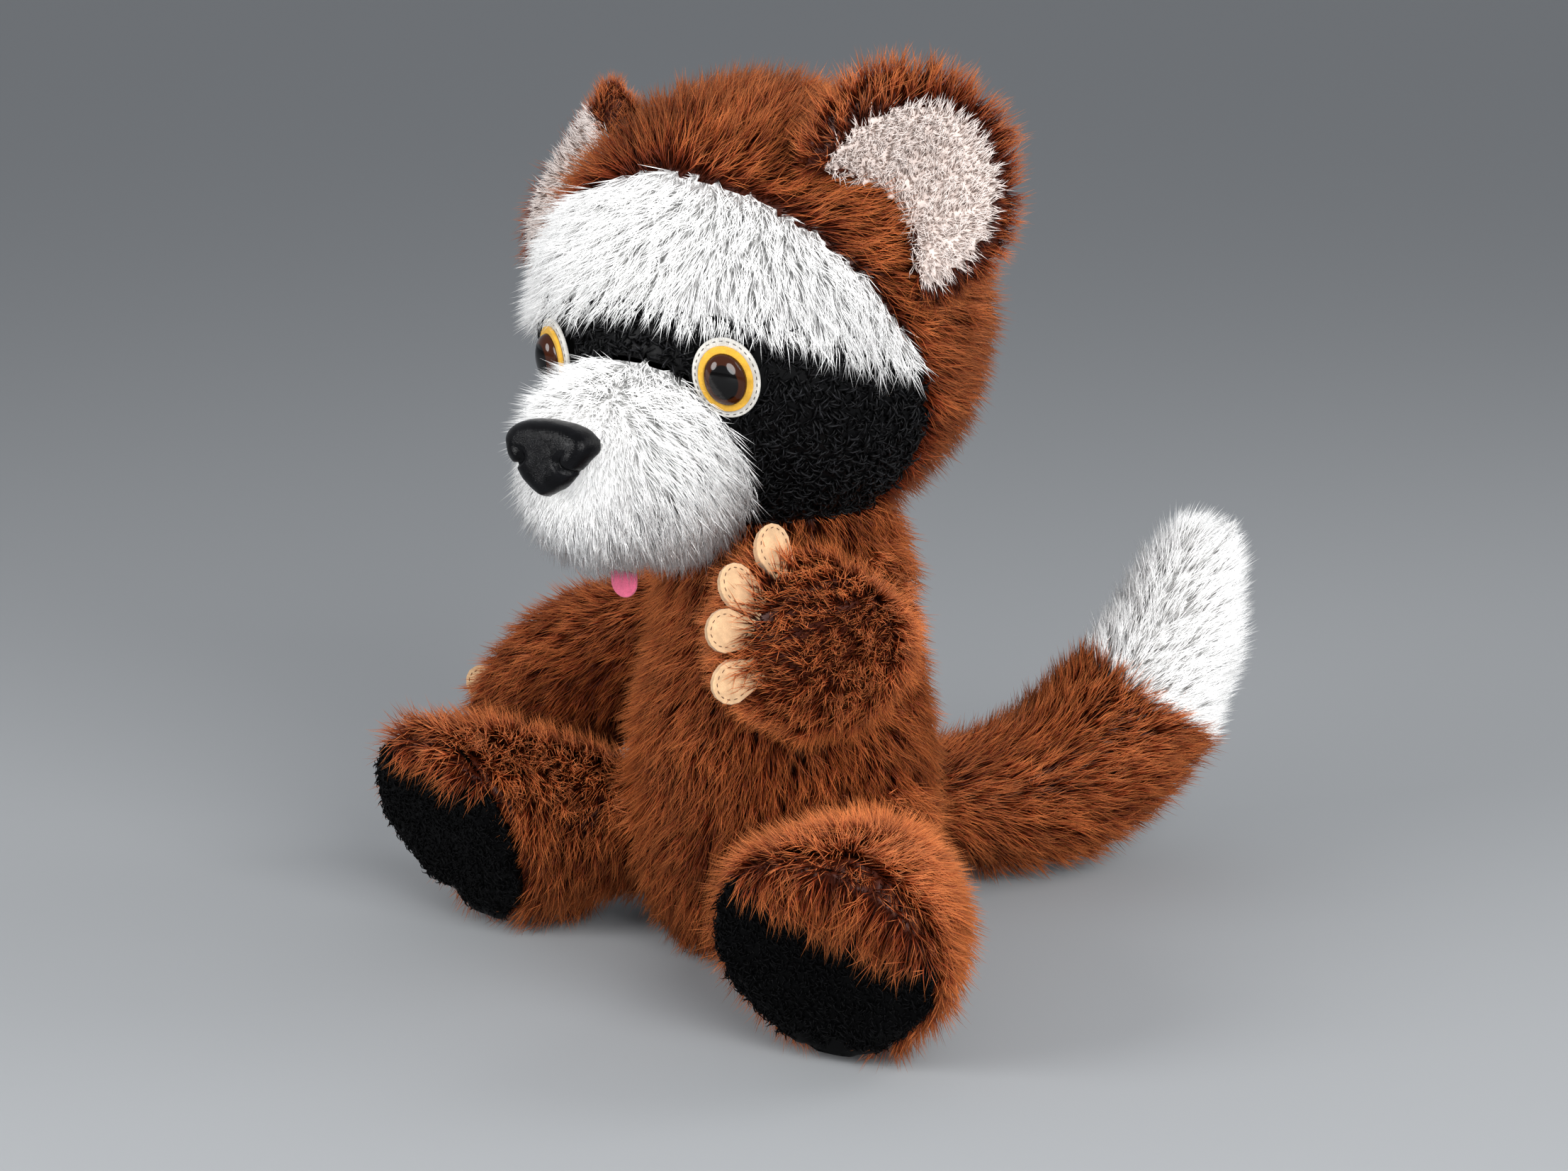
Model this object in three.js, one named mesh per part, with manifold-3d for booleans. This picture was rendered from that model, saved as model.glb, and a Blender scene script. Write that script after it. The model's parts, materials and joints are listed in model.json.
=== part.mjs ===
// Plush raccoon, seated, one hand raised to its chin.
// Millimetres, +Z up, floor at z = 0. The raccoon faces -Y and its left side is +X.
// Each sewn cover is a shell over its own stuffing. Limbs, head and tail are round at their seams,
// so that they turn there as sewn limbs do.

import * as THREE from 'three';
import { mergeVertices } from 'three/addons/utils/BufferGeometryUtils.js';
import Module from 'manifold-3d';

const wasm = await Module();
wasm.setup();

// Fits and cloth
const CLEARANCE = 0.3;
const SWING_CLEARANCE = 0.8;
const SWING_STEP = 10;
const PLUSH = 5;
const HOOD_SEAM_GAP = 1.5 * CLEARANCE;
const BROW_SEAM_GAP = 1.2 * CLEARANCE;
const FELT = 1.5;

// Stuffed forms: how far a limb narrows at its root, and how full its ends are, fuller as it nears 0
const ROOT_TAPER = 0.9;
const ARM_END = 0.55;
const LEG_END = 0.5;
const TAIL_ENDS = 0.6;
const MUZZLE_ENDS = 0.7;

// Body
const SEAT_RADIUS = 46;
const BELLY_RADIUS = 73;
const BELLY_HEIGHT = 82;
const NECK_RADIUS = 58;
const NECK_HEIGHT = 184;
const NECK_OPENING = 16;
const THREAD_RADIUS = 1.2;

// Head
const HEAD_WIDTH = 210;
const HEAD_DEPTH = 204;
const HEAD_HEIGHT = 206;
const HEAD_CENTRE = new THREE.Vector3(0, -18, 304);
const CHEEK_SWELL = 0.05;

// Face seams, seen from the side: forward of the head's centre, then above it
const HOOD_SEAM_TOP = new THREE.Vector2(74, 72);
const HOOD_SEAM_SIDE = new THREE.Vector2(17, -14);
const HOOD_SEAM_LOW = new THREE.Vector2(-12, -96);
const BROW_SEAM_BACK = new THREE.Vector2(17, -17);
const BROW_SEAM_FRONT = new THREE.Vector2(102, 14);

// Muzzle, nose and tongue
const MUZZLE_WIDTH = 98;
const MUZZLE_HEIGHT = 100;
const MUZZLE_TAPER = 0.92;
const MUZZLE_FRONT = 168;
const MUZZLE_LEVEL = 245;
const NOSE_WIDTH = 46;
const NOSE_HEIGHT = 36;
const NOSE_THICKNESS = 16;
const NOSE_ROUNDING = 5;
const NOSE_PITCH = 8;
const TONGUE_WIDTH = 14;
const TONGUE_LENGTH = 24;
const TONGUE_FORWARD = 118;

// Eyes: bearing from straight ahead and pitch, then the layers from the head outward
const EYE_BEARING = 28;
const EYE_PITCH = -9;
const WHITE_FELT_WIDTH = 29;
const WHITE_FELT_HEIGHT = 36;
const YELLOW_FELT_WIDTH = 23;
const YELLOW_FELT_HEIGHT = 29;
const EYE_WIDTH = 18;
const EYE_HEIGHT = 23;
const EYE_BULGE = 6;
const SHANK_RADIUS = 2.5;
const SHANK_TAIL = 3;
const WASHER_RADIUS = 8;
const WASHER_THICKNESS = 2;

// Ears: where the base sits on the head, which way the ear stands, which way its open side looks
const EAR_WIDTH = 102;
const EAR_LENGTH = 106;
const EAR_SINK = 46;
const EAR_THICKNESS = 16;
const EAR_CUP = 26;
const EAR_LOW_CUP = 8;
const EAR_RIM = 8;
const EAR_BEARING = 76;
const EAR_PITCH = 29;
const EAR_LEAN_BEARING = 150;
const EAR_LEAN_PITCH = 46;
const EAR_FACING = 28;
const EAR_SWING = 15;

// Arms
const SHOULDER_SPREAD = 44;
const SHOULDER_HEIGHT = 162;
const SHOULDER_RADIUS = 29;
const ARM_THICKNESS = 60;
const HAND_HEIGHT = 92;
const HAND_THICKNESS = 56;
const LEFT_ELBOW = new THREE.Vector3(74, -56, 162);
const LEFT_FINGERTIPS = new THREE.Vector3(59, -128, 190);
const RIGHT_ELBOW = new THREE.Vector3(-108, 6, 123);
const RIGHT_FINGERTIPS = new THREE.Vector3(-188, 2, 54);
const ARM_OPENING = 10;
const LEFT_ARM_AXIS = new THREE.Vector3(0.25, 0, 0.97).normalize();
const LEFT_ARM_SWING = 60;
const RIGHT_ARM_AXIS = new THREE.Vector3(0, 1, 0);
const RIGHT_ARM_SWING = 50;

// Claws, fanned round the end of each hand
const CLAWS_PER_HAND = 4;
const CLAW_WIDTH = 19;
const CLAW_ROOT_WIDTH = 11;
const CLAW_LENGTH = 24;
const CLAW_THICKNESS = 4;
const CLAW_SINK = 4;
const CLAW_ROW = 50;
const CLAW_RISE = 4;
const CLAW_FAN = 84;
const LEFT_CLAW_LIFT = 8;
const RIGHT_CLAW_LIFT = -12;
const CLAW_HEART = 0.7;
const CLAW_OFFSET = 12;
const CLAW_TILT = 26;

// Legs
const HIP_SPREAD = 48;
const HIP_FORWARD = 8;
const HIP_HEIGHT = 46;
const HIP_RADIUS = 40;
const SHIN_WIDTH = 92;
const SHIN_HEIGHT = 90;
const SOLE_WIDTH = 118;
const SOLE_HEIGHT = 110;
const SOLE_THICKNESS = 9;
const LEFT_SOLE = new THREE.Vector3(124, -146, 54);
const LEFT_SOLE_BEARING = 10;
const RIGHT_SOLE = new THREE.Vector3(-132, -97, 54);
const RIGHT_SOLE_BEARING = -11;
const SOLE_LEAN = -20;
const KNEE_OUT = 14;
const LEG_OPENING = 12;
const LEG_SWING = 12;

// Tail
const TAIL_ROOT = new THREE.Vector3(6, 58, 56);
const TAIL_ROOT_RADIUS = 36;
const TAIL_BEND = new THREE.Vector3(47, 162, 44);
const TAIL_RISE = new THREE.Vector3(78, 208, 88);
const TAIL_END = new THREE.Vector3(99, 229, 178);
const TAIL_THICKNESS = 84;
const TAIL_TIP_THICKNESS = 70;
const TAIL_SEAM = 0.64;
const TAIL_SWING = 15;

// Facets
const SHOW_SIDES = 14;
const SHOW_RINGS = 10;
const HEAD_SIDES = 20;
const HEAD_RINGS = 12;
const CORE_SIDES = 8;
const CORE_RINGS = 6;
const BALL_SIDES = 12;
const PLUG_SIDES = 8;
const ROUND_SIDES = 16;
const LARGE = 600;

const FORWARD = new THREE.Vector3(0, -1, 0);
const UP = new THREE.Vector3(0, 0, 1);
const degrees = THREE.MathUtils.degToRad;

// Geometry helpers

// A closed geometry with shared vertices, faces outward and no collapsed triangles.
function welded(geometry) {
  const bare = geometry.clone();
  bare.deleteAttribute('normal');
  bare.deleteAttribute('uv');
  const merged = mergeVertices(bare, 1e-3);
  const index = merged.getIndex().array;
  const faces = [];
  for (let i = 0; i < index.length; i += 3) {
    const [a, b, c] = [index[i], index[i + 1], index[i + 2]];
    if (a !== b && b !== c && c !== a) faces.push([a, b, c]);
  }
  const place = merged.getAttribute('position');
  const corner = (i) => new THREE.Vector3().fromBufferAttribute(place, i);
  const volume = faces.reduce((sum, [a, b, c]) => sum + corner(a).dot(corner(b).cross(corner(c))), 0);
  const outward = volume > 0 ? faces : faces.map(([a, b, c]) => [a, c, b]);
  merged.setIndex(outward.flat());
  return merged;
}

// The same form with its surface moved out by an amount, or in where the amount is negative.
function grown(geometry, amount) {
  const form = welded(geometry);
  form.computeVertexNormals();
  const place = form.getAttribute('position');
  const normal = form.getAttribute('normal');
  for (let i = 0; i < place.count; i += 1) {
    const moved = new THREE.Vector3().fromBufferAttribute(place, i);
    moved.addScaledVector(new THREE.Vector3().fromBufferAttribute(normal, i), amount);
    place.setXYZ(i, moved.x, moved.y, moved.z);
  }
  return form;
}

function solidOf(geometry) {
  const form = welded(geometry);
  return new wasm.Manifold(new wasm.Mesh({
    numProp: 3,
    vertProperties: new Float32Array(form.getAttribute('position').array),
    triVerts: new Uint32Array(form.getIndex().array),
  }));
}

function geometryOf(solid) {
  const { vertProperties, triVerts, numProp } = solid.getMesh();
  const geometry = new THREE.BufferGeometry();
  const place = new Float32Array((vertProperties.length / numProp) * 3);
  for (let i = 0; i < place.length / 3; i += 1) {
    place.set(vertProperties.slice(i * numProp, i * numProp + 3), i * 3);
  }
  geometry.setAttribute('position', new THREE.BufferAttribute(place, 3));
  geometry.setIndex(new THREE.BufferAttribute(new Uint32Array(triVerts), 1));
  geometry.computeVertexNormals();
  return geometry;
}

function cut(solid, ...cutters) {
  return cutters.reduce((rest, cutter) => rest.subtract(cutter), solid);
}

// A ball with its poles on an axis, its facets turned round that axis by an offset.
function ball(centre, radius, axis, offset = 0, sides = BALL_SIDES) {
  const sphere = new THREE.SphereGeometry(radius, sides, sides / 2).rotateY(offset);
  const turn = new THREE.Quaternion().setFromUnitVectors(new THREE.Vector3(0, 1, 0), axis);
  return sphere.applyMatrix4(new THREE.Matrix4().compose(centre, turn, new THREE.Vector3(1, 1, 1)));
}

// A straight round plug from one point to another.
function plug(start, end, radius, sides = PLUG_SIDES) {
  const length = start.distanceTo(end);
  const cylinder = new THREE.CylinderGeometry(radius, radius, length, sides);
  const turn = new THREE.Quaternion().setFromUnitVectors(
    new THREE.Vector3(0, 1, 0),
    end.clone().sub(start).normalize(),
  );
  const middle = start.clone().lerp(end, 0.5);
  return cylinder.applyMatrix4(new THREE.Matrix4().compose(middle, turn, new THREE.Vector3(1, 1, 1)));
}

// Where a ray from inside a form leaves it.
function surfacePoint(form, origin, direction) {
  const skin = new THREE.Mesh(form, new THREE.MeshBasicMaterial({ side: THREE.DoubleSide }));
  const hits = new THREE.Raycaster(origin, direction.clone().normalize()).intersectObject(skin);
  return hits[hits.length - 1].point;
}

// A frame at a point whose Z runs along one direction and whose X leans towards another.
function frameAt(point, alongZ, towardsX) {
  const z = alongZ.clone().normalize();
  const y = new THREE.Vector3().crossVectors(z, towardsX).normalize();
  const x = new THREE.Vector3().crossVectors(y, z);
  return new THREE.Matrix4().makeBasis(x, y, z).setPosition(point);
}

// A direction by bearing from straight ahead, positive to the raccoon's left, and pitch upward.
function heading(bearing, pitch) {
  const level = Math.cos(degrees(pitch));
  return new THREE.Vector3(
    Math.sin(degrees(bearing)) * level,
    -Math.cos(degrees(bearing)) * level,
    Math.sin(degrees(pitch)),
  );
}

// Everything on the far side of a plane, away from its normal.
function behindPlane(point, normal) {
  const block = new THREE.BoxGeometry(LARGE, LARGE, LARGE).translate(0, 0, -LARGE / 2);
  const turn = new THREE.Quaternion().setFromUnitVectors(UP, normal.clone().normalize());
  return block.applyMatrix4(new THREE.Matrix4().compose(point, turn, new THREE.Vector3(1, 1, 1)));
}

// A form turned about an axis through a point.
function turned(geometry, point, axis, angle) {
  const turn = new THREE.Matrix4().makeTranslation(point.x, point.y, point.z);
  turn.multiply(new THREE.Matrix4().makeRotationAxis(axis, degrees(angle)));
  turn.multiply(new THREE.Matrix4().makeTranslation(-point.x, -point.y, -point.z));
  return geometry.clone().applyMatrix4(turn);
}

// Evenly spaced turns from the lowest to the highest of a joint's range.
function swingSteps(low, high) {
  const count = Math.ceil((high - low) / SWING_STEP);
  return Array.from({ length: count + 1 }, (_, i) => low + ((high - low) * i) / count);
}

// A stuffed tube: ellipses strung along a curve, closed round at both ends.
// Each girth is half the width along side, then half the height; fullness below 1 blunts the ends.
function stuffedTube({ path, girths, side, fullness }, sides, rings) {
  const form = new THREE.SphereGeometry(1, sides, rings);
  const place = form.getAttribute('position');
  const girth = new THREE.SplineCurve(girths.map(([wide, high]) => new THREE.Vector2(wide, high)));
  for (let i = 0; i < place.count; i += 1) {
    const share = THREE.MathUtils.clamp((1 - place.getY(i)) / 2, 0, 1);
    const reach = Math.hypot(place.getX(i), place.getZ(i));
    const blunt = reach > 0 ? reach ** fullness / reach : 0;
    const along = path.getTangent(share);
    const high = new THREE.Vector3().crossVectors(along, side).normalize();
    const wide = new THREE.Vector3().crossVectors(high, along).normalize();
    const size = girth.getPoint(share);
    const point = path.getPoint(share);
    point.addScaledVector(wide, place.getX(i) * blunt * size.x);
    point.addScaledVector(high, place.getZ(i) * blunt * size.y);
    place.setXYZ(i, point.x, point.y, point.z);
  }
  return form;
}

// Colours and finishes
const PLUSH_BROWN = { color: 0x7a3312, roughness: 0.95, metalness: 0 };
const PLUSH_WHITE = { color: 0xe8e6e3, roughness: 0.95, metalness: 0 };
const PLUSH_BLACK = { color: 0x0e0e10, roughness: 0.95, metalness: 0 };
const FELT_WHITE = { color: 0xe2dfd8, roughness: 0.9, metalness: 0 };
const FELT_YELLOW = { color: 0xe0a31c, roughness: 0.9, metalness: 0 };
const FELT_TAN = { color: 0xd6ab79, roughness: 0.9, metalness: 0 };
const FELT_ROSE = { color: 0xd8536f, roughness: 0.9, metalness: 0 };
const EYE_BROWN = { color: 0x4a2410, roughness: 0.1, metalness: 0 };
const LEATHERETTE = { color: 0x101012, roughness: 0.35, metalness: 0 };
const WASHER_WHITE = { color: 0xd9d9d6, roughness: 0.5, metalness: 0 };
const FIBRE = { color: 0xf1efea, roughness: 1, metalness: 0 };
const THREAD = { color: 0x4f2414, roughness: 0.8, metalness: 0 };

const raccoon = new THREE.Group();

function addPiece(name, solid, finish) {
  const mesh = new THREE.Mesh(geometryOf(solid), new THREE.MeshStandardMaterial(finish));
  mesh.name = name;
  raccoon.add(mesh);
}

const floor = solidOf(behindPlane(new THREE.Vector3(), UP));

// Limbs: a ball at the seam and a stuffed tube that grows out of it.
const rootBall = (limb) => solidOf(ball(limb.pivot, limb.rootRadius, limb.axis));

function limbOutside(limb) {
  const tube = solidOf(stuffedTube(limb.tube, SHOW_SIDES, SHOW_RINGS));
  return tube.add(rootBall(limb));
}

const limbCore = (limb, inset) => solidOf(grown(stuffedTube(limb.tube, CORE_SIDES, CORE_RINGS), -inset));
const limbCavity = (limb) => limbCore(limb, PLUSH);
const limbStuffing = (limb) => limbCore(limb, PLUSH + CLEARANCE);

// The socket clears the root's ball as it turns: its corners lie between those of the ball.
function socketOf(limb) {
  const halfStep = Math.PI / BALL_SIDES;
  return solidOf(ball(limb.pivot, (limb.rootRadius + CLEARANCE) / Math.cos(halfStep), limb.axis, halfStep));
}

// The hole in a limb's root through which it is stuffed.
function stuffingHole(limb) {
  const outward = limb.path.getTangent(0);
  const outer = limb.pivot.clone().addScaledVector(outward, -limb.rootRadius - PLUSH);
  const inner = limb.pivot.clone().addScaledVector(outward, limb.rootRadius / 2);
  return solidOf(plug(outer, inner, limb.opening));
}

// Arms
function arm(sideSign, elbow, fingertips, axis, swing) {
  const pivot = new THREE.Vector3(sideSign * SHOULDER_SPREAD, 0, SHOULDER_HEIGHT);
  const path = new THREE.CatmullRomCurve3([pivot, elbow, fingertips]);
  const shoulder = ARM_THICKNESS / 2;
  const girths = [
    [shoulder * ROOT_TAPER, shoulder * ROOT_TAPER],
    [shoulder, shoulder],
    [HAND_THICKNESS / 2, HAND_HEIGHT / 2],
    [HAND_THICKNESS / 2, HAND_HEIGHT / 2],
  ];
  const side = new THREE.Vector3().crossVectors(path.getTangent(0.5), UP).normalize();
  const tube = { path, girths, side, fullness: ARM_END };
  const turns = swingSteps(0, swing);
  return { pivot, path, tube, axis, turns, rootRadius: SHOULDER_RADIUS, opening: ARM_OPENING };
}

const leftArm = arm(1, LEFT_ELBOW, LEFT_FINGERTIPS, LEFT_ARM_AXIS, LEFT_ARM_SWING);
const rightArm = arm(-1, RIGHT_ELBOW, RIGHT_FINGERTIPS, RIGHT_ARM_AXIS, RIGHT_ARM_SWING);

// Legs: the foot ends in a flat sole, so the tube runs on past it and is cut there.
function leg(sideSign, sole, bearing) {
  const pivot = new THREE.Vector3(sideSign * HIP_SPREAD, -HIP_FORWARD, HIP_HEIGHT);
  const facing = FORWARD.clone().applyAxisAngle(UP, degrees(bearing));
  const across = new THREE.Vector3().crossVectors(facing, UP);
  facing.applyAxisAngle(across, degrees(SOLE_LEAN));
  const past = sole.clone().addScaledVector(facing, SOLE_HEIGHT / 3);
  const knee = pivot.clone().lerp(sole, 0.5).add(new THREE.Vector3(sideSign * KNEE_OUT, 0, 0));
  const path = new THREE.CatmullRomCurve3([pivot, knee, sole, past]);
  const girths = [
    [HIP_RADIUS * ROOT_TAPER, HIP_RADIUS * ROOT_TAPER],
    [SHIN_WIDTH / 2, SHIN_HEIGHT / 2],
    [SOLE_WIDTH / 2, SOLE_HEIGHT / 2],
    [SOLE_WIDTH / 2, SOLE_HEIGHT / 2],
  ];
  const tube = { path, girths, side: across, fullness: LEG_END };
  const turns = swingSteps(0, LEG_SWING);
  return { pivot, path, tube, sole, facing, axis: UP, turns, rootRadius: HIP_RADIUS, opening: LEG_OPENING };
}

const leftLeg = leg(1, LEFT_SOLE, LEFT_SOLE_BEARING);
const rightLeg = leg(-1, RIGHT_SOLE, RIGHT_SOLE_BEARING);

// Tail
const tailPath = new THREE.CatmullRomCurve3([TAIL_ROOT, TAIL_BEND, TAIL_RISE, TAIL_END]);
const tail = {
  pivot: TAIL_ROOT,
  path: tailPath,
  tube: {
    path: tailPath,
    girths: [
      [TAIL_ROOT_RADIUS * ROOT_TAPER, TAIL_ROOT_RADIUS * ROOT_TAPER],
      [TAIL_THICKNESS / 2, TAIL_THICKNESS / 2],
      [TAIL_THICKNESS / 2, TAIL_THICKNESS / 2],
      [TAIL_TIP_THICKNESS / 2, TAIL_TIP_THICKNESS / 2],
    ],
    side: new THREE.Vector3(1, 0, 0),
    fullness: TAIL_ENDS,
  },
  axis: UP,
  turns: swingSteps(-TAIL_SWING, TAIL_SWING),
  rootRadius: TAIL_ROOT_RADIUS,
};

// Body: a turned pear with a ball for a neck, flat where it sits.
const neck = new THREE.Vector3(0, 0, NECK_HEIGHT);

function bodyForm(sides, steps) {
  const profile = new THREE.Path();
  const low = BELLY_HEIGHT / 2;
  const rise = (NECK_HEIGHT - BELLY_HEIGHT) / 2;
  const seatEdge = (SEAT_RADIUS + BELLY_RADIUS) / 2;
  profile.moveTo(0, 0);
  profile.lineTo(SEAT_RADIUS, 0);
  profile.bezierCurveTo(seatEdge, 0, BELLY_RADIUS, low, BELLY_RADIUS, BELLY_HEIGHT);
  profile.bezierCurveTo(
    BELLY_RADIUS, BELLY_HEIGHT + rise, NECK_RADIUS, NECK_HEIGHT - rise, NECK_RADIUS, NECK_HEIGHT,
  );
  profile.absarc(0, NECK_HEIGHT, NECK_RADIUS, 0, Math.PI / 2);
  return new THREE.LatheGeometry(profile.getPoints(steps), sides).rotateX(Math.PI / 2);
}

const limbs = [leftArm, rightArm, leftLeg, rightLeg, tail];
const sockets = limbs.map(socketOf);
const neckTop = neck.clone().addScaledVector(UP, NECK_RADIUS);
const neckHole = solidOf(plug(
  neckTop.clone().addScaledVector(UP, PLUSH),
  neckTop.clone().addScaledVector(UP, -3 * PLUSH),
  NECK_OPENING,
  ROUND_SIDES,
));
const body = bodyForm(SHOW_SIDES, 4);
const bodyCore = bodyForm(CORE_SIDES, 3);
const torsoHollow = solidOf(grown(bodyCore, -PLUSH));
addPiece('torso_cover', cut(solidOf(body), torsoHollow, neckHole, ...sockets), PLUSH_BROWN);
addPiece('torso_stuffing', cut(solidOf(grown(bodyCore, -PLUSH - CLEARANCE)), ...sockets), FIBRE);

// The drawn-up thread lies in the neck opening, in the thickness of the plush.
const threadLevel = NECK_HEIGHT + Math.sqrt(NECK_RADIUS ** 2 - NECK_OPENING ** 2) - PLUSH / 2;
const threadRing = NECK_OPENING - THREAD_RADIUS - 2 * CLEARANCE;
const thread = new THREE.TorusGeometry(threadRing, THREAD_RADIUS, 5, ROUND_SIDES);
addPiece('neck_thread', solidOf(thread.translate(0, 0, threadLevel)), THREAD);

// What a limb may not enter as it swings: the body at every turn, outside the ball of the limb's root.
function bodyBeside(limb) {
  const room = grown(body, SWING_CLEARANCE);
  const turns = limb.turns.map((angle) => solidOf(turned(room, limb.pivot, limb.axis, -angle)));
  return cut(wasm.Manifold.union(turns), rootBall(limb));
}

function addArm(name, limb) {
  const beside = bodyBeside(limb);
  const cover = cut(limbOutside(limb), limbCavity(limb), stuffingHole(limb), beside);
  addPiece(`${name}_cover`, cover, PLUSH_BROWN);
  addPiece(`${name}_stuffing`, cut(limbStuffing(limb), beside), FIBRE);
}

addArm('left_arm', leftArm);
addArm('right_arm', rightArm);

function addLeg(side, limb) {
  const seam = limb.sole.clone().addScaledVector(limb.facing, -SOLE_THICKNESS);
  const beyond = (point) => solidOf(behindPlane(point, limb.facing.clone().negate()));
  const within = (point) => solidOf(behindPlane(point, limb.facing));
  const beside = bodyBeside(limb);
  const whole = cut(limbOutside(limb), floor, beside);
  const cover = cut(whole, limbCavity(limb), beyond(seam), stuffingHole(limb));
  addPiece(`${side}_leg_cover`, cover, PLUSH_BROWN);
  const stuffing = cut(limbStuffing(limb), beside, beyond(seam));
  addPiece(`${side}_leg_stuffing`, stuffing, FIBRE);
  const seat = seam.clone().addScaledVector(limb.facing, CLEARANCE);
  addPiece(`${side}_sole`, cut(whole, within(seat), beyond(limb.sole)), PLUSH_BLACK);
}

addLeg('left', leftLeg);
addLeg('right', rightLeg);

// Tail: the white tip is sewn on at a slanted seam.
const seamPoint = tailPath.getPoint(TAIL_SEAM);
const seamNormal = tailPath.getTangent(TAIL_SEAM);
const tipSeat = seamPoint.clone().addScaledVector(seamNormal, CLEARANCE);
const besideTail = bodyBeside(tail);
const tailShell = cut(limbOutside(tail), limbCavity(tail), floor, besideTail);
const pastTailSeam = solidOf(behindPlane(seamPoint, seamNormal.clone().negate()));
addPiece('tail_cover', cut(tailShell, pastTailSeam), PLUSH_BROWN);
addPiece('tail_tip', cut(tailShell, solidOf(behindPlane(tipSeat, seamNormal))), PLUSH_WHITE);
addPiece('tail_stuffing', cut(limbStuffing(tail), besideTail), FIBRE);

// Head: a round form with full cheeks, and a muzzle that grows out of it
function headForm(sides, rings) {
  const form = new THREE.SphereGeometry(1, sides, rings).rotateX(Math.PI / 2);
  const place = form.getAttribute('position');
  for (let i = 0; i < place.count; i += 1) {
    const level = place.getZ(i);
    const x = place.getX(i) * (HEAD_WIDTH / 2) * (1 - CHEEK_SWELL * level);
    place.setXYZ(i, x, place.getY(i) * (HEAD_DEPTH / 2), level * (HEAD_HEIGHT / 2));
  }
  return form.translate(HEAD_CENTRE.x, HEAD_CENTRE.y, HEAD_CENTRE.z);
}

const muzzleRoot = new THREE.Vector3(HEAD_CENTRE.x, HEAD_CENTRE.y - HEAD_DEPTH / 6, MUZZLE_LEVEL + PLUSH);
const muzzleTip = new THREE.Vector3(HEAD_CENTRE.x, -MUZZLE_FRONT, MUZZLE_LEVEL);
const muzzleTube = {
  path: new THREE.LineCurve3(muzzleRoot, muzzleTip),
  girths: [
    [MUZZLE_WIDTH / 2, MUZZLE_HEIGHT / 2],
    [MUZZLE_WIDTH / 2, MUZZLE_HEIGHT / 2],
    [(MUZZLE_WIDTH / 2) * MUZZLE_TAPER, (MUZZLE_HEIGHT / 2) * MUZZLE_TAPER],
  ],
  side: new THREE.Vector3(1, 0, 0),
  fullness: MUZZLE_ENDS,
};
const muzzleForm = stuffedTube(muzzleTube, SHOW_SIDES, SHOW_RINGS);
const muzzleCore = stuffedTube(muzzleTube, CORE_SIDES, CORE_RINGS);
const head = headForm(HEAD_SIDES, HEAD_RINGS);
const headCore = headForm(HEAD_RINGS, CORE_SIDES);

// The hollow for the neck clears its facets however the head turns or nods.
const neckRoom = (NECK_RADIUS + CLEARANCE) / Math.cos(Math.PI / SHOW_SIDES) ** 2;
const neckBall = solidOf(ball(neck, neckRoom, UP, 0, SHOW_SIDES));

const headCavity = solidOf(grown(headCore, -PLUSH));
const headFilling = solidOf(grown(headCore, -PLUSH - CLEARANCE));
const muzzleRoom = solidOf(grown(muzzleForm, CLEARANCE));
const headRoom = solidOf(grown(head, CLEARANCE));
const headShell = cut(solidOf(head), headCavity, muzzleRoom, neckBall);

// A cutter from a side view: forward of the head's centre runs along -Y, above it along +Z.
function sideViewCutter(shape, forward = 0, lower = 0) {
  const block = new THREE.ExtrudeGeometry(shape, { depth: LARGE, bevelEnabled: false, curveSegments: 5 });
  const across = new THREE.Vector3(-1, 0, 0);
  const toHead = new THREE.Matrix4().makeBasis(FORWARD, UP, across);
  toHead.setPosition(HEAD_CENTRE.x + LARGE / 2, HEAD_CENTRE.y - forward, HEAD_CENTRE.z - lower);
  return solidOf(block.applyMatrix4(toHead));
}

const faceShape = new THREE.Shape();
faceShape.moveTo(HOOD_SEAM_LOW.x, -LARGE / 2);
faceShape.lineTo(HOOD_SEAM_LOW.x, HOOD_SEAM_LOW.y);
faceShape.splineThru([HOOD_SEAM_SIDE, HOOD_SEAM_TOP]);
faceShape.lineTo(LARGE / 2, LARGE / 2);
faceShape.lineTo(LARGE / 2, -LARGE / 2);

const browShape = new THREE.Shape();
browShape.moveTo(-LARGE / 2, BROW_SEAM_BACK.y);
browShape.lineTo(BROW_SEAM_BACK.x, BROW_SEAM_BACK.y);
browShape.lineTo(BROW_SEAM_FRONT.x, BROW_SEAM_FRONT.y);
browShape.lineTo(LARGE / 2, BROW_SEAM_FRONT.y);
browShape.lineTo(LARGE / 2, LARGE / 2);
browShape.lineTo(-LARGE / 2, LARGE / 2);

const facePanels = headShell.intersect(sideViewCutter(faceShape, HOOD_SEAM_GAP));
const browBand = facePanels.intersect(sideViewCutter(browShape));
const maskPanel = cut(facePanels, sideViewCutter(browShape, 0, BROW_SEAM_GAP));
addPiece('hood', cut(headShell, sideViewCutter(faceShape)), PLUSH_BROWN);
addPiece('brow_band', browBand, PLUSH_WHITE);

// Muzzle: its cover runs through the opening in the mask and ends inside the head's plush.
const muzzleCavity = solidOf(grown(muzzleCore, -PLUSH));
const muzzleFilling = solidOf(grown(muzzleCore, -PLUSH - CLEARANCE));
addPiece('muzzle_cover', cut(solidOf(muzzleForm), muzzleCavity, headCavity, neckBall), PLUSH_WHITE);

// Eyes: a felt disc, a felt ring and a domed eye whose shank runs through the mask to its washer
function oval(width, height) {
  const outline = new THREE.Shape();
  outline.absellipse(0, 0, width / 2, height / 2, 0, 2 * Math.PI);
  return outline;
}

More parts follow.
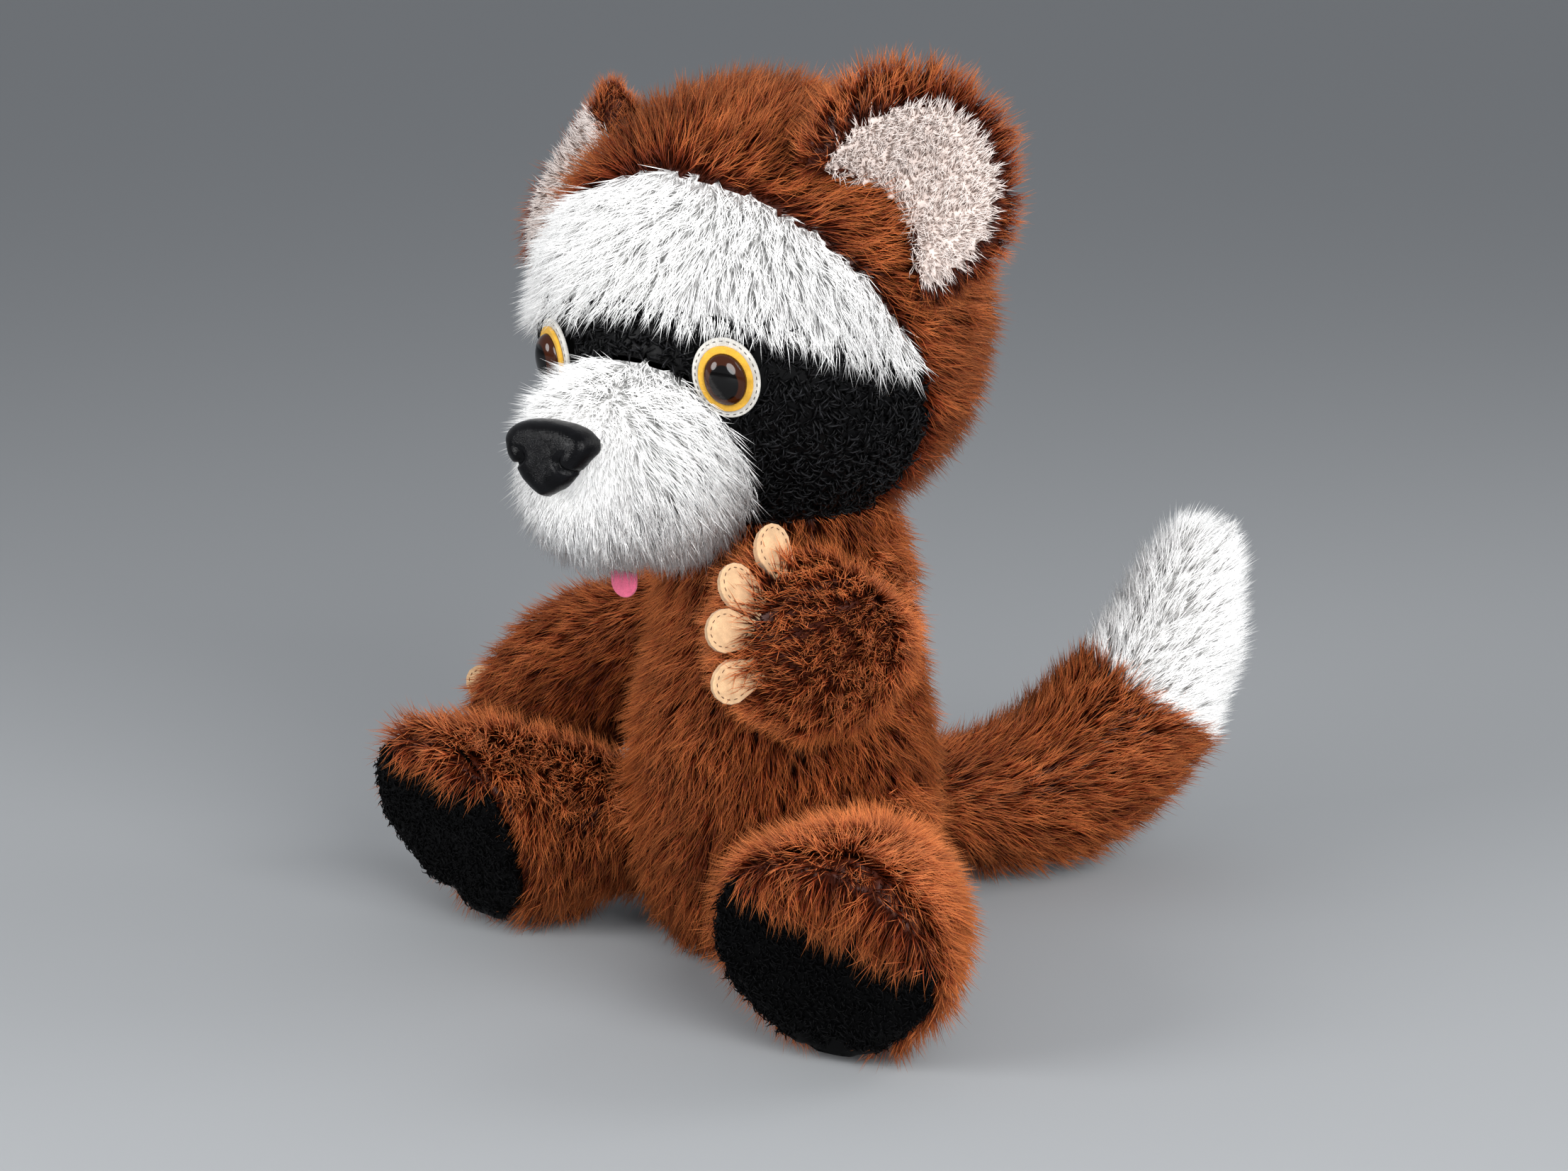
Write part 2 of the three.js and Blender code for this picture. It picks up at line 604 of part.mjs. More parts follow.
function withHole(outline, radius) {
  const hole = new THREE.Path();
  hole.absarc(0, 0, radius, 0, 2 * Math.PI, true);
  outline.holes.push(hole);
  return outline;
}

function plate(outline, thickness, curveSegments = 6) {
  return new THREE.ExtrudeGeometry(outline, { depth: thickness, bevelEnabled: false, curveSegments });
}

// How far along an axis the head's lining falls away round a rim of this radius.
function lowestRim(liningForm, lining, axis, radius) {
  const across = new THREE.Vector3().crossVectors(UP, axis).normalize();
  const drops = Array.from({ length: ROUND_SIDES }, (_, i) => {
    const round = across.clone().applyAxisAngle(axis, (2 * Math.PI * i) / ROUND_SIDES);
    const towards = lining.clone().addScaledVector(round, radius).sub(HEAD_CENTRE);
    return surfacePoint(liningForm, HEAD_CENTRE, towards).sub(lining).dot(axis);
  });
  return Math.min(...drops);
}

function eye(side, sideSign) {
  const axis = heading(sideSign * EYE_BEARING, EYE_PITCH);
  const skin = surfacePoint(head, HEAD_CENTRE, axis);
  const liningForm = grown(headCore, -PLUSH);
  const lining = surfacePoint(liningForm, HEAD_CENTRE, axis);
  const across = new THREE.Vector3().crossVectors(UP, axis);
  const at = (point, out) => frameAt(point.clone().addScaledVector(axis, out), axis, across);
  const hole = SHANK_RADIUS + CLEARANCE;
  const whiteOutline = withHole(oval(WHITE_FELT_WIDTH, WHITE_FELT_HEIGHT), hole);
  const white = plate(whiteOutline, FELT + PLUSH).applyMatrix4(at(skin, -PLUSH));
  addPiece(`${side}_eye_white_felt`, cut(solidOf(white), headRoom, muzzleRoom), FELT_WHITE);

  const yellowSeat = FELT + CLEARANCE;
  const yellow = plate(withHole(oval(YELLOW_FELT_WIDTH, YELLOW_FELT_HEIGHT), hole), FELT);
  const yellowRing = solidOf(yellow.applyMatrix4(at(skin, yellowSeat)));
  addPiece(`${side}_eye_yellow_felt`, cut(yellowRing, muzzleRoom), FELT_YELLOW);

  const domeSeat = yellowSeat + FELT + CLEARANCE;
  const bulge = new THREE.SphereGeometry(1, 12, 8).rotateX(Math.PI / 2);
  bulge.scale(EYE_WIDTH / 2, EYE_HEIGHT / 2, EYE_BULGE).applyMatrix4(at(skin, domeSeat));
  const seat = skin.clone().addScaledVector(axis, domeSeat);
  const washerTop = lowestRim(liningForm, lining, axis, WASHER_RADIUS + CLEARANCE) - CLEARANCE;
  const washerSeat = washerTop - WASHER_THICKNESS;
  const shankEnd = lining.clone().addScaledVector(axis, washerSeat - SHANK_TAIL);
  const dome = cut(solidOf(bulge), solidOf(behindPlane(seat, axis)));
  const inDome = seat.clone().addScaledVector(axis, EYE_BULGE / 2);
  addPiece(`${side}_eye`, dome.add(solidOf(plug(shankEnd, inDome, SHANK_RADIUS))), EYE_BROWN);

  const ring = plate(withHole(oval(2 * WASHER_RADIUS, 2 * WASHER_RADIUS), hole), WASHER_THICKNESS);
  addPiece(`${side}_eye_washer`, solidOf(ring.applyMatrix4(at(lining, washerSeat))), WASHER_WHITE);

  const deep = shankEnd.clone().addScaledVector(axis, -CLEARANCE);
  const out = skin.clone().addScaledVector(axis, PLUSH);
  return {
    shankHole: solidOf(plug(deep, out, hole)),
    pocket: solidOf(plug(deep, out, WASHER_RADIUS + CLEARANCE, ROUND_SIDES)),
  };
}

const eyes = [eye('left', 1), eye('right', -1)];
addPiece('mask', cut(maskPanel, ...eyes.map((one) => one.shankHole)), PLUSH_BLACK);
const headFibre = headFilling.add(muzzleFilling);
addPiece('head_stuffing', cut(headFibre, neckBall, ...eyes.map((one) => one.pocket)), FIBRE);

// Nose: a stuffed triangle with two nostril wings
const noseShape = new THREE.Shape();
noseShape.moveTo(0, -NOSE_HEIGHT / 2);
noseShape.quadraticCurveTo(-NOSE_WIDTH / 4, -NOSE_HEIGHT / 3, -NOSE_WIDTH / 2, NOSE_HEIGHT / 5);
noseShape.quadraticCurveTo(-NOSE_WIDTH / 2, NOSE_HEIGHT / 2, 0, NOSE_HEIGHT / 2);
noseShape.quadraticCurveTo(NOSE_WIDTH / 2, NOSE_HEIGHT / 2, NOSE_WIDTH / 2, NOSE_HEIGHT / 5);
noseShape.quadraticCurveTo(NOSE_WIDTH / 4, -NOSE_HEIGHT / 3, 0, -NOSE_HEIGHT / 2);
const nosePad = new THREE.ExtrudeGeometry(noseShape, {
  depth: NOSE_THICKNESS,
  bevelThickness: NOSE_THICKNESS / 2,
  bevelSize: NOSE_ROUNDING,
  bevelOffset: -NOSE_ROUNDING,
  bevelSegments: 2,
  curveSegments: 4,
});
const noseAxis = heading(0, NOSE_PITCH);
const noseSkin = surfacePoint(muzzleForm, muzzleTip.clone().lerp(muzzleRoot, 0.5), noseAxis);
const noseSeat = noseSkin.clone().addScaledVector(noseAxis, -NOSE_THICKNESS);
nosePad.applyMatrix4(frameAt(noseSeat, noseAxis, new THREE.Vector3(1, 0, 0)));
addPiece('nose', cut(solidOf(nosePad), muzzleRoom), LEATHERETTE);

// Tongue: a felt tab that hangs out from under the muzzle
const tongueShape = new THREE.Shape();
tongueShape.moveTo(-TONGUE_WIDTH / 2, 0);
tongueShape.lineTo(-TONGUE_WIDTH / 2, TONGUE_LENGTH - TONGUE_WIDTH / 2);
tongueShape.absarc(0, TONGUE_LENGTH - TONGUE_WIDTH / 2, TONGUE_WIDTH / 2, Math.PI, 0, true);
tongueShape.lineTo(TONGUE_WIDTH / 2, 0);
const tongueHeart = new THREE.Vector3(HEAD_CENTRE.x, -TONGUE_FORWARD, MUZZLE_LEVEL);
const tongueSkin = surfacePoint(muzzleForm, tongueHeart, new THREE.Vector3(0, 0, -1));
const tongueRoot = tongueSkin.addScaledVector(UP, TONGUE_LENGTH / 2);
const hanging = new THREE.Matrix4().makeBasis(new THREE.Vector3(1, 0, 0), UP.clone().negate(), FORWARD);
const tongue = plate(tongueShape, FELT, 6).applyMatrix4(hanging.setPosition(tongueRoot));
addPiece('tongue', cut(solidOf(tongue), muzzleRoom), FELT_ROSE);

// Ears: a cupped brown back with a white lining set into its open side
function cuppedPad(sideSign, width, length, thickness, forward) {
  const pad = new THREE.SphereGeometry(1, 14, 8);
  const place = pad.getAttribute('position');
  for (let i = 0; i < place.count; i += 1) {
    const x = place.getX(i) * (width / 2);
    const deepest = x * sideSign > 0 ? EAR_CUP : EAR_LOW_CUP;
    const cup = deepest * (x / (EAR_WIDTH / 2)) ** 2;
    const y = place.getZ(i) * (thickness / 2) + cup + forward;
    place.setXYZ(i, x, y, place.getY(i) * (length / 2) + EAR_LENGTH / 2 - EAR_SINK);
  }
  return pad;
}

function ear(side, sideSign) {
  const base = surfacePoint(head, HEAD_CENTRE, heading(sideSign * EAR_BEARING, EAR_PITCH));
  const out = heading(sideSign * EAR_LEAN_BEARING, EAR_LEAN_PITCH);
  const hinge = new THREE.Vector3().crossVectors(heading(sideSign * EAR_FACING, 0), out).normalize();
  const place = frameAt(base, out, hinge);
  const back = cuppedPad(sideSign, EAR_WIDTH, EAR_LENGTH, EAR_THICKNESS, 0).applyMatrix4(place);
  const lining = cuppedPad(
    sideSign,
    EAR_WIDTH - 2 * EAR_RIM,
    EAR_LENGTH - 2 * EAR_RIM,
    EAR_THICKNESS - PLUSH,
    PLUSH,
  ).applyMatrix4(place);
  const swept = swingSteps(-EAR_SWING, EAR_SWING).map((angle) => (
    solidOf(turned(grown(head, SWING_CLEARANCE), base, hinge, angle))
  ));
  addPiece(`${side}_ear_back`, cut(solidOf(back), solidOf(grown(lining, CLEARANCE)), ...swept), PLUSH_BROWN);
  addPiece(`${side}_ear_front`, cut(solidOf(lining), ...swept), PLUSH_WHITE);
}

ear('left', 1);
ear('right', -1);

// Claws: two-ply felt tabs sewn round the end of each hand, on its outer face
function clawShape() {
  const tab = new THREE.Shape();
  const round = CLAW_WIDTH / 2;
  tab.moveTo(-CLAW_ROOT_WIDTH / 2, 0);
  tab.lineTo(-round, CLAW_LENGTH - round);
  tab.absarc(0, CLAW_LENGTH - round, round, Math.PI, 0, true);
  tab.lineTo(CLAW_ROOT_WIDTH / 2, 0);
  return tab;
}

function addClaws(side, sideSign, limb, clawLift) {
  const skin = stuffedTube(limb.tube, SHOW_SIDES, SHOW_RINGS);
  const handRoom = solidOf(grown(skin, CLEARANCE));
  const along = limb.path.getTangent(1);
  const high = new THREE.Vector3().crossVectors(along, limb.tube.side).normalize();
  const lift = high.z > 0 ? high : high.negate();
  const outer = new THREE.Vector3().crossVectors(lift, along).multiplyScalar(sideSign);
  const heart = limb.path.getPoint(CLAW_HEART).addScaledVector(outer, CLAW_OFFSET);
  heart.addScaledVector(lift, CLAW_RISE);
  for (let i = 0; i < CLAWS_PER_HAND; i += 1) {
    const share = i / (CLAWS_PER_HAND - 1) - 0.5;
    const angle = clawLift + CLAW_FAN * share;
    const radial = along.clone().multiplyScalar(Math.cos(degrees(angle)));
    radial.addScaledVector(lift, Math.sin(degrees(angle)));
    const across = new THREE.Vector3().crossVectors(radial, outer);
    const tip = radial.clone().applyAxisAngle(across, degrees(-CLAW_TILT));
    const face = outer.clone().applyAxisAngle(across, degrees(-CLAW_TILT));
    const row = heart.clone().addScaledVector(lift, CLAW_ROW * share);
    const root = surfacePoint(skin, row, along).addScaledVector(tip, -CLAW_SINK);
    const toHand = new THREE.Matrix4().makeBasis(across, tip, face).setPosition(root);
    const tab = plate(clawShape(), CLAW_THICKNESS, 4).translate(0, 0, -CLAW_THICKNESS / 2);
    addPiece(`${side}_claw_${i + 1}`, cut(solidOf(tab.applyMatrix4(toHand)), handRoom), FELT_TAN);
  }
}

addClaws('left', 1, leftArm, LEFT_CLAW_LIFT);
addClaws('right', -1, rightArm, RIGHT_CLAW_LIFT);

export default raccoon;
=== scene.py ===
"""Looks of the plush raccoon: stuffed covers with a combed pile, felt, leatherette and plastic."""

import json
import math

import bmesh
import bpy
import numpy as np
from bpy.props import FloatProperty, FloatVectorProperty, PointerProperty
from bpy.types import Operator, Panel, PropertyGroup
from mathutils import Matrix, Vector
from mathutils.bvhtree import BVHTree


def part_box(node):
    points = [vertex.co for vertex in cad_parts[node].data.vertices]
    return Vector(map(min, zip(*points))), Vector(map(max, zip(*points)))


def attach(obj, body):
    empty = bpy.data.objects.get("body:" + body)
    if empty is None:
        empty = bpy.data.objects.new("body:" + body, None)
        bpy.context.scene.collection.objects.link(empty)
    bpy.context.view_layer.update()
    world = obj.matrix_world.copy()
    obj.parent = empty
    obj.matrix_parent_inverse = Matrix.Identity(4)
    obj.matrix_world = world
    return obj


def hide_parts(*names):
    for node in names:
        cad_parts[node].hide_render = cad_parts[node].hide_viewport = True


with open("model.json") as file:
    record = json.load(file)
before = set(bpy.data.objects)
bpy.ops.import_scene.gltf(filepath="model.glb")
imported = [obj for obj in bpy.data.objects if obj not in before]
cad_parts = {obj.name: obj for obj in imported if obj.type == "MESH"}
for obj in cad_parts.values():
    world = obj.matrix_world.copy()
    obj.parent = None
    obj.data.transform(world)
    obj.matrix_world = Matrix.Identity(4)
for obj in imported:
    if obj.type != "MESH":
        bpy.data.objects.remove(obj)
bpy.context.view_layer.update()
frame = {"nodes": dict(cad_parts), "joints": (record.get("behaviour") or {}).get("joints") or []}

bl_info = {
    "name": "Plush raccoon",
    "version": (1, 0, 0),
    "blender": (4, 5, 0),
    "location": "View3D > Sidebar > Raccoon",
    "description": "Dresses the raccoon's frame in plush, felt, leatherette and plastic",
    "category": "Object",
}

BAKE_MAP = "OFBake"
SIDES = ("left", "right")
CLAWS = (1, 2, 3, 4)
DOWN = np.array((0.0, 0.0, -1.0))
UP = Vector((0.0, 0.0, 1.0))

# Camera: where it stands, what it looks at, and its lens
CAMERA_PLACE = (0.8745, -1.2037, 0.5145)
CAMERA_TARGET = (0.0, 0.0, 0.171)
CAMERA_LENS = 75.0
CAMERA_SENSOR = 36.0

# Studio: each lamp's place, width and power, the light from all round, and the floor
LAMPS = {
    "key": ((-0.55, -1.60, 0.85), 0.9, 26.0),
    "fill": ((1.5, -0.9, 0.9), 1.2, 45.0),
    "rim": ((1.3, 0.9, 1.2), 0.9, 10.0),
}
SKY_COLOUR = (0.92, 0.95, 1.0, 1.0)
SKY_STRENGTH = 0.5
FLOOR_SIZE = 30.0

# Arms: elbow and fingertips, as on the frame
ARM_PATHS = {
    "left": ((0.074, -0.056, 0.162), (0.059, -0.128, 0.190)),
    "right": ((-0.108, 0.006, 0.123), (-0.188, 0.002, 0.054)),
}

# Arms: how long the bend of the elbow is, how much the pile hangs, how short it is beside the body's, how much of
# a claw is its root, and how far round that and how much longer pile grows
ELBOW_BEND = 0.04
ARM_HANG = 0.35
ARM_PILE = 0.85
ROOT_REACH = 0.003
CLAW_TUFT = 0.010
CLAW_GROWTH = 0.35

# Feet: where the brown cover wraps over the sole, as a slope across it and a height above its middle; how short the
# pile is behind the sole; which faces are the sole's back
TOE_CAPS = {"left": (-0.38, 0.029), "right": (-0.30, 0.043)}
BEHIND_SOLE = 0.35
SOLE_BACK = -0.3

# Tail: how much its pile turns to the middle of the tip, how much the tip's fans out, and how short that is
TAIL_GATHER = 0.3
TIP_FAN = 0.4
TIP_PILE = 0.95

# Ears, each: how far its upper edge curls over, its top leans to the crown, its inner edge lies back, the whole
# turns that way, its top drops and its outer edge tucks in, and how much longer its pile is at the top
EARS = {
    "left": dict(curl=0.002, lean=0.0, back=0.0, turn=0.0, drop=-0.006, tuck=0.0, tuft=0.5),
    "right": dict(curl=0.0, lean=0.018, back=0.028, turn=0.012, drop=0.004, tuck=0.006, tuft=-0.25),
}

# Ears, both: bearing from straight ahead, half the width and the height of the part that gives, depth and width
# of the bowl, the brown rim round the lining and what it has in addition at the top, the pile beside the body's,
# how far the brown cloth has come round where it counts as edge, and how flat the pile lies there
EAR_FACING = math.radians(28.0)
EAR_HALF = 0.045
EAR_HEIGHT = 0.06
EAR_BOWL = 0.016
EAR_BOWL_WIDTH = 0.026
EAR_RIM = 0.004
EAR_BAND = 0.003
EAR_PILE = 0.65
EAR_EDGE = 0.2
EDGE_COMB = 0.9

# Eyes: bearing from straight ahead and pitch, as on the head, and the roll of their ovals
EYE_BEARING = math.radians(28.0)
EYE_PITCH = math.radians(-9.0)
EYE_ROLL = math.radians(14.0)

# Felts of an eye: slot, width and height, and how far out each lies; the oval of the seam and the felts' thickness;
# half the sizes of the plastic dome and how far out it sits
EYE_FELTS = {
    "felt": ("white_felt", (0.029, 0.036), -0.0026),
    "ring": ("yellow_felt", (0.0235, 0.0295), -0.0007),
}
EYE_SEAM = (0.0262, 0.0332)
FELT_THICKNESS = 0.0018
EYE_DOME = (0.0092, 0.0117, 0.0062)
DOME_LIFT = 0.0010


def length(name, description, default):
    """A size in metres that a user may change."""
    return FloatProperty(name=name, description=description, default=default, min=0.0, unit="LENGTH")


def colour(name, description, default):
    """A colour that a user may change."""
    return FloatVectorProperty(
        name=name, description=description, default=default, size=3, min=0.0, max=1.0, subtype="COLOR"
    )


class RaccoonSizes(PropertyGroup):
    """Sizes of the cloth, the pile and the small trim."""

    voxel: length("Voxel", "Grid on which a stuffed form is rebuilt", 0.005)
    puff: length("Puff", "How far the stuffing may press a cover out or in", 0.004)
    long_pile: length("Long pile", "Length of the brown pile", 0.0165)
    white_pile: length("White pile", "Length of the white pile", 0.0165)
    ear_pile: length("Ear pile", "Length of the short pile inside the ears", 0.0072)
    curl_pile: length("Curl pile", "Length of the black curled pile", 0.0075)
    sole_pile: length("Sole pile", "Length of the black pile of the soles", 0.0046)
    felt_edge: length("Felt edge", "Rounding of a felt edge", 0.0006)
    stitch: length("Stitch", "Length of one stitch", 0.0020)
    stitch_gap: length("Stitch gap", "Distance from one stitch to the next", 0.0030)
    thread: length("Thread", "Thickness of the sewing thread", 0.0005)


class RaccoonColours(PropertyGroup):
    """Colours of the cloth and the plastic, with painted shade at the piles' roots and painted sheen at their tips."""

    # Each pile: root darkened as painted shade deep in the pile, middle the cloth's own colour, tip lightened as
    # painted sheen
    brown_root: colour("Brown root", "Brown pile at the backing", (0.034, 0.0048, 0.0012))
    brown_middle: colour("Brown middle", "Brown pile halfway up", (0.165, 0.0255, 0.0055))
    brown_tip: colour("Brown tip", "Brown pile at its tips", (0.56, 0.175, 0.050))
    white_root: colour("White root", "White pile at the backing", (0.93, 0.925, 0.915))
    white_middle: colour("White middle", "White pile halfway up", (0.965, 0.96, 0.95))
    white_tip: colour("White tip", "White pile at its tips", (0.985, 0.98, 0.97))
    lining_root: colour("Lining root", "Ear lining at the backing", (0.62, 0.52, 0.47))
    lining_middle: colour("Lining middle", "Ear lining halfway up", (0.69, 0.60, 0.56))
    lining_tip: colour("Lining tip", "Ear lining at its tips", (0.76, 0.69, 0.655))
    black_root: colour("Black root", "Black pile at the backing", (0.0012, 0.0012, 0.0014))
    black_middle: colour("Black middle", "Black pile halfway up", (0.0045, 0.0045, 0.005))
    black_tip: colour("Black tip", "Black pile at its tips", (0.026, 0.026, 0.029))
    white_felt: colour("White felt", "Felt under the eyes", (0.55, 0.53, 0.49))
    yellow_felt: colour("Yellow felt", "Felt ring of the eyes", (0.63, 0.345, 0.035))
    tan_felt: colour("Tan felt", "Felt of the claws", (0.60, 0.385, 0.215))
    rose_felt: colour("Rose felt", "Felt of the tongue", (0.62, 0.11, 0.20))
    iris: colour("Iris", "Plastic of the eyes", (0.030, 0.0072, 0.0022))
    pupil: colour("Pupil", "Middle of the eyes", (0.0012, 0.0010, 0.0010))
    leatherette: colour("Leatherette", "Covering of the nose", (0.005, 0.005, 0.006))
    claw_thread: colour("Claw thread", "Stitches of the claws", (0.10, 0.045, 0.02))
    eye_thread: colour("Eye thread", "Stitches of the eyes", (0.05, 0.045, 0.04))
    neck_thread: colour("Neck thread", "Thread that draws up the neck", (0.08, 0.018, 0.006))
    washer: colour("Washer", "Plastic of the eye washers", (0.7, 0.7, 0.68))
    floor: colour("Floor", "Floor under the raccoon", (0.30, 0.31, 0.32))


class RaccoonSettings(PropertyGroup):
    """All that a user may change."""

    sizes: PointerProperty(type=RaccoonSizes)
    colours: PointerProperty(type=RaccoonColours)


def sizes():
    return bpy.context.scene.raccoon.sizes


def colours():
    return bpy.context.scene.raccoon.colours


# Node trees


def live(sockets, key):
    """The socket in use with this name, or at this place."""
    if isinstance(key, int):
        return sockets[key]
    return next(s for s in sockets if s.name == key and s.enabled)


def feed(tree, node, wires):
    """Wires or sets the inputs of a node."""
    for key, value in wires.items():
        socket = live(node.inputs, key)
        if isinstance(value, bpy.types.NodeSocket):
            tree.links.new(value, socket)
        else:
            socket.default_value = value


def place(tree, kind, settings=None, wires=None):
    """A new node with its settings and its inputs."""
    made = tree.nodes.new(kind)
    for key, value in (settings or {}).items():
        setattr(made, key, value)
    feed(tree, made, wires or {})
    return made


def maths(tree, operation, *values):
    """The result of a math node."""
    return place(tree, "ShaderNodeMath", {"operation": operation}, dict(enumerate(values))).outputs[0]


def vectors(tree, operation, first, second):
    """The result of a vector math node."""
    key = "Scale" if operation == "SCALE" else 1
    return place(tree, "ShaderNodeVectorMath", {"operation": operation}, {0: first, key: second}).outputs[0]


def ranged(tree, value, settings=None, **limits):
    """A value brought from one range to another."""
    wires = {key.replace("_", " "): limit for key, limit in limits.items()}
    return place(tree, "ShaderNodeMapRange", settings, {"Value": value, **wires}).outputs["Result"]


def mixed(tree, factor, first, second, kind="RGBA"):
    """Two colours or values mixed."""
    made = place(tree, "ShaderNodeMix", {"data_type": kind}, {"Factor": factor, "A": first, "B": second})
    return live(made.outputs, "Result")


def shaded(tree, value, tint):
    """A colour made lighter or darker."""
    return place(tree, "ShaderNodeHueSaturation", None, {"Value": value, "Color": tint}).outputs["Color"]


def own_place(tree):
    """The object's own coordinates."""
    found = next((n for n in tree.nodes if n.bl_idname == "ShaderNodeTexCoord"), None)
    return (found or place(tree, "ShaderNodeTexCoord")).outputs["Object"]


def noise(tree, **inputs):
    """A noise over the object's own coordinates."""
    where = own_place(tree)
    return live(place(tree, "ShaderNodeTexNoise", None, {"Vector": where, **inputs}).outputs, "Fac")


def group_sockets(tree, inputs, outputs):
    """Gives a node group its named sockets and returns its two end nodes."""
    for name, kind in inputs:
        tree.interface.new_socket(name, in_out="INPUT", socket_type=kind)
    for name, kind in outputs:
        tree.interface.new_socket(name, in_out="OUTPUT", socket_type=kind)
    return tree.nodes.new("NodeGroupInput"), tree.nodes.new("NodeGroupOutput")


def rgba(three):
    return (*three, 1.0)


# Materials


def pile_colour_group():
    """Colour of a pile: from root (painted shade) to tip (painted sheen) along each strand, and from strand to strand.
    """
    tree = bpy.data.node_groups.get("Pile colour")
    if tree:
        return tree
    tree = bpy.data.node_groups.new("Pile colour", "ShaderNodeTree")
    start, end = group_sockets(
        tree,
        [(name, "NodeSocketColor") for name in ("Root", "Middle", "Tip")] + [("Spread", "NodeSocketFloat")],
        [("Color", "NodeSocketColor")],
    )
    where = place(tree, "ShaderNodeUVMap", {"uv_map": BAKE_MAP})
    split = place(tree, "ShaderNodeSeparateXYZ", None, {"Vector": where.outputs["UV"]})
    tone, reach = split.outputs["X"], split.outputs["Y"]
    # Darker towards the root as painted shade, lighter towards the tip as painted sheen
    low = ranged(tree, reach, From_Min=0.0, From_Max=0.55)
    high = ranged(tree, reach, From_Min=0.45, From_Max=1.0)
    lower = mixed(tree, low, start.outputs["Root"], start.outputs["Middle"])
    upper = mixed(tree, high, lower, start.outputs["Tip"])
    swing = maths(tree, "MULTIPLY_ADD", maths(tree, "SUBTRACT", tone, 0.5), start.outputs["Spread"], 1.0)
    tree.links.new(shaded(tree, swing, upper), end.inputs["Color"])
    return tree


def felt_group():
    """Pressed fibres: a mottled colour, also darker where the fibres sink as painted shade between them, and a height
    for the bump.
    """
    tree = bpy.data.node_groups.get("Felt fibres")
    if tree:
        return tree
    tree = bpy.data.node_groups.new("Felt fibres", "ShaderNodeTree")
    start, end = group_sockets(
        tree,
        [("Color", "NodeSocketColor"), ("Fibre", "NodeSocketFloat")],
        [("Color", "NodeSocketColor"), ("Height", "NodeSocketFloat")],
    )
    fibres = noise(tree, Scale=start.outputs["Fibre"], Detail=6.0, Roughness=0.7, Distortion=1.6)
    # The mottle follows a coarser noise, a random tone, and the fibres' height, painted shade where they sink
    mottle_and_shade = maths(tree, "MULTIPLY", fibres, noise(tree, Scale=260.0, Detail=3.0))
    shade = ranged(tree, mottle_and_shade, From_Min=0.1, From_Max=0.42, To_Min=0.72, To_Max=1.15)
    tree.links.new(shaded(tree, shade, start.outputs["Color"]), end.inputs["Color"])
    tree.links.new(fibres, end.inputs["Height"])
    return tree


def new_material(name):
    material = bpy.data.materials.new(name)
    material.use_nodes = True
    return material, material.node_tree, material.node_tree.nodes["Principled BSDF"]


# Plush: its colours from root to tip, with painted shade at the root and painted sheen at the tip, how much they vary
# from strand to strand, and its shine
PLUSH = {
    "brown_plush": (("brown_root", "brown_middle", "brown_tip"), 1.2, 0.16),
    "white_plush": (("white_root", "white_middle", "white_tip"), 0.05, 0.2),
    "lining_plush": (("lining_root", "lining_middle", "lining_tip"), 0.06, 0.15),
    "black_plush": (("black_root", "black_middle", "black_tip"), 0.9, 0.1),
    "sole_plush": (("black_root", "black_root", "black_middle"), 0.9, 0.05),
}


def plush(kind):
    """Pile whose colour runs along its strands, from painted shade at the root to painted sheen at the tip."""
    name = kind.replace("_", " ").capitalize()
    found = bpy.data.materials.get(name)
    if found:
        return found
    material, tree, shader = new_material(name)
    shades, spread, shine = PLUSH[kind]
    root, middle, tip = (rgba(getattr(colours(), shade)) for shade in shades)
    pile = place(tree, "ShaderNodeGroup", {"node_tree": pile_colour_group()}, {
        "Root": root, "Middle": middle, "Tip": tip, "Spread": spread})
    feed(tree, shader, {"Base Color": pile.outputs["Color"], "Roughness": 0.45, "Specular IOR Level": shine})
    return material


def felt_material(name, tint, fibre=1400.0):
    """Pressed felt, matt and a little hairy."""
    material, tree, shader = new_material(name)
    felt = place(tree, "ShaderNodeGroup", {"node_tree": felt_group()}, {"Color": rgba(tint), "Fibre": fibre})
    bump = place(tree, "ShaderNodeBump", None, {
        "Strength": 0.55, "Distance": 0.0006, "Height": felt.outputs["Height"]})
    feed(tree, shader, {
        "Base Color": felt.outputs["Color"], "Normal": bump.outputs["Normal"],
        "Roughness": 0.92, "Specular IOR Level": 0.15, "Sheen Weight": 0.2})
    return material


def leatherette_material():
    """Black coated cloth with a fine grain, a soft gloss and painted shade where its creases sink."""
    material, tree, shader = new_material("Leatherette")
    grain = place(tree, "ShaderNodeTexVoronoi", {"feature": "DISTANCE_TO_EDGE"}, {
        "Vector": own_place(tree), "Scale": 1500.0})
    crease = noise(tree, Scale=180.0, Detail=4.0)
    height = maths(tree, "MULTIPLY_ADD", crease, 0.6, grain.outputs["Distance"])
    bump = place(tree, "ShaderNodeBump", None, {"Strength": 0.35, "Distance": 0.0004, "Height": height})
    gloss = ranged(tree, crease, From_Min=0.3, From_Max=0.7, To_Min=0.14, To_Max=0.22)
    # The colour follows the crease noise, darker where it sinks the surface: painted shade in the creases
    tint = shaded(tree, crease, rgba(colours().leatherette))
    feed(tree, shader, {
        "Base Color": tint, "Roughness": gloss, "Normal": bump.outputs["Normal"], "Specular IOR Level": 0.10})
    return material


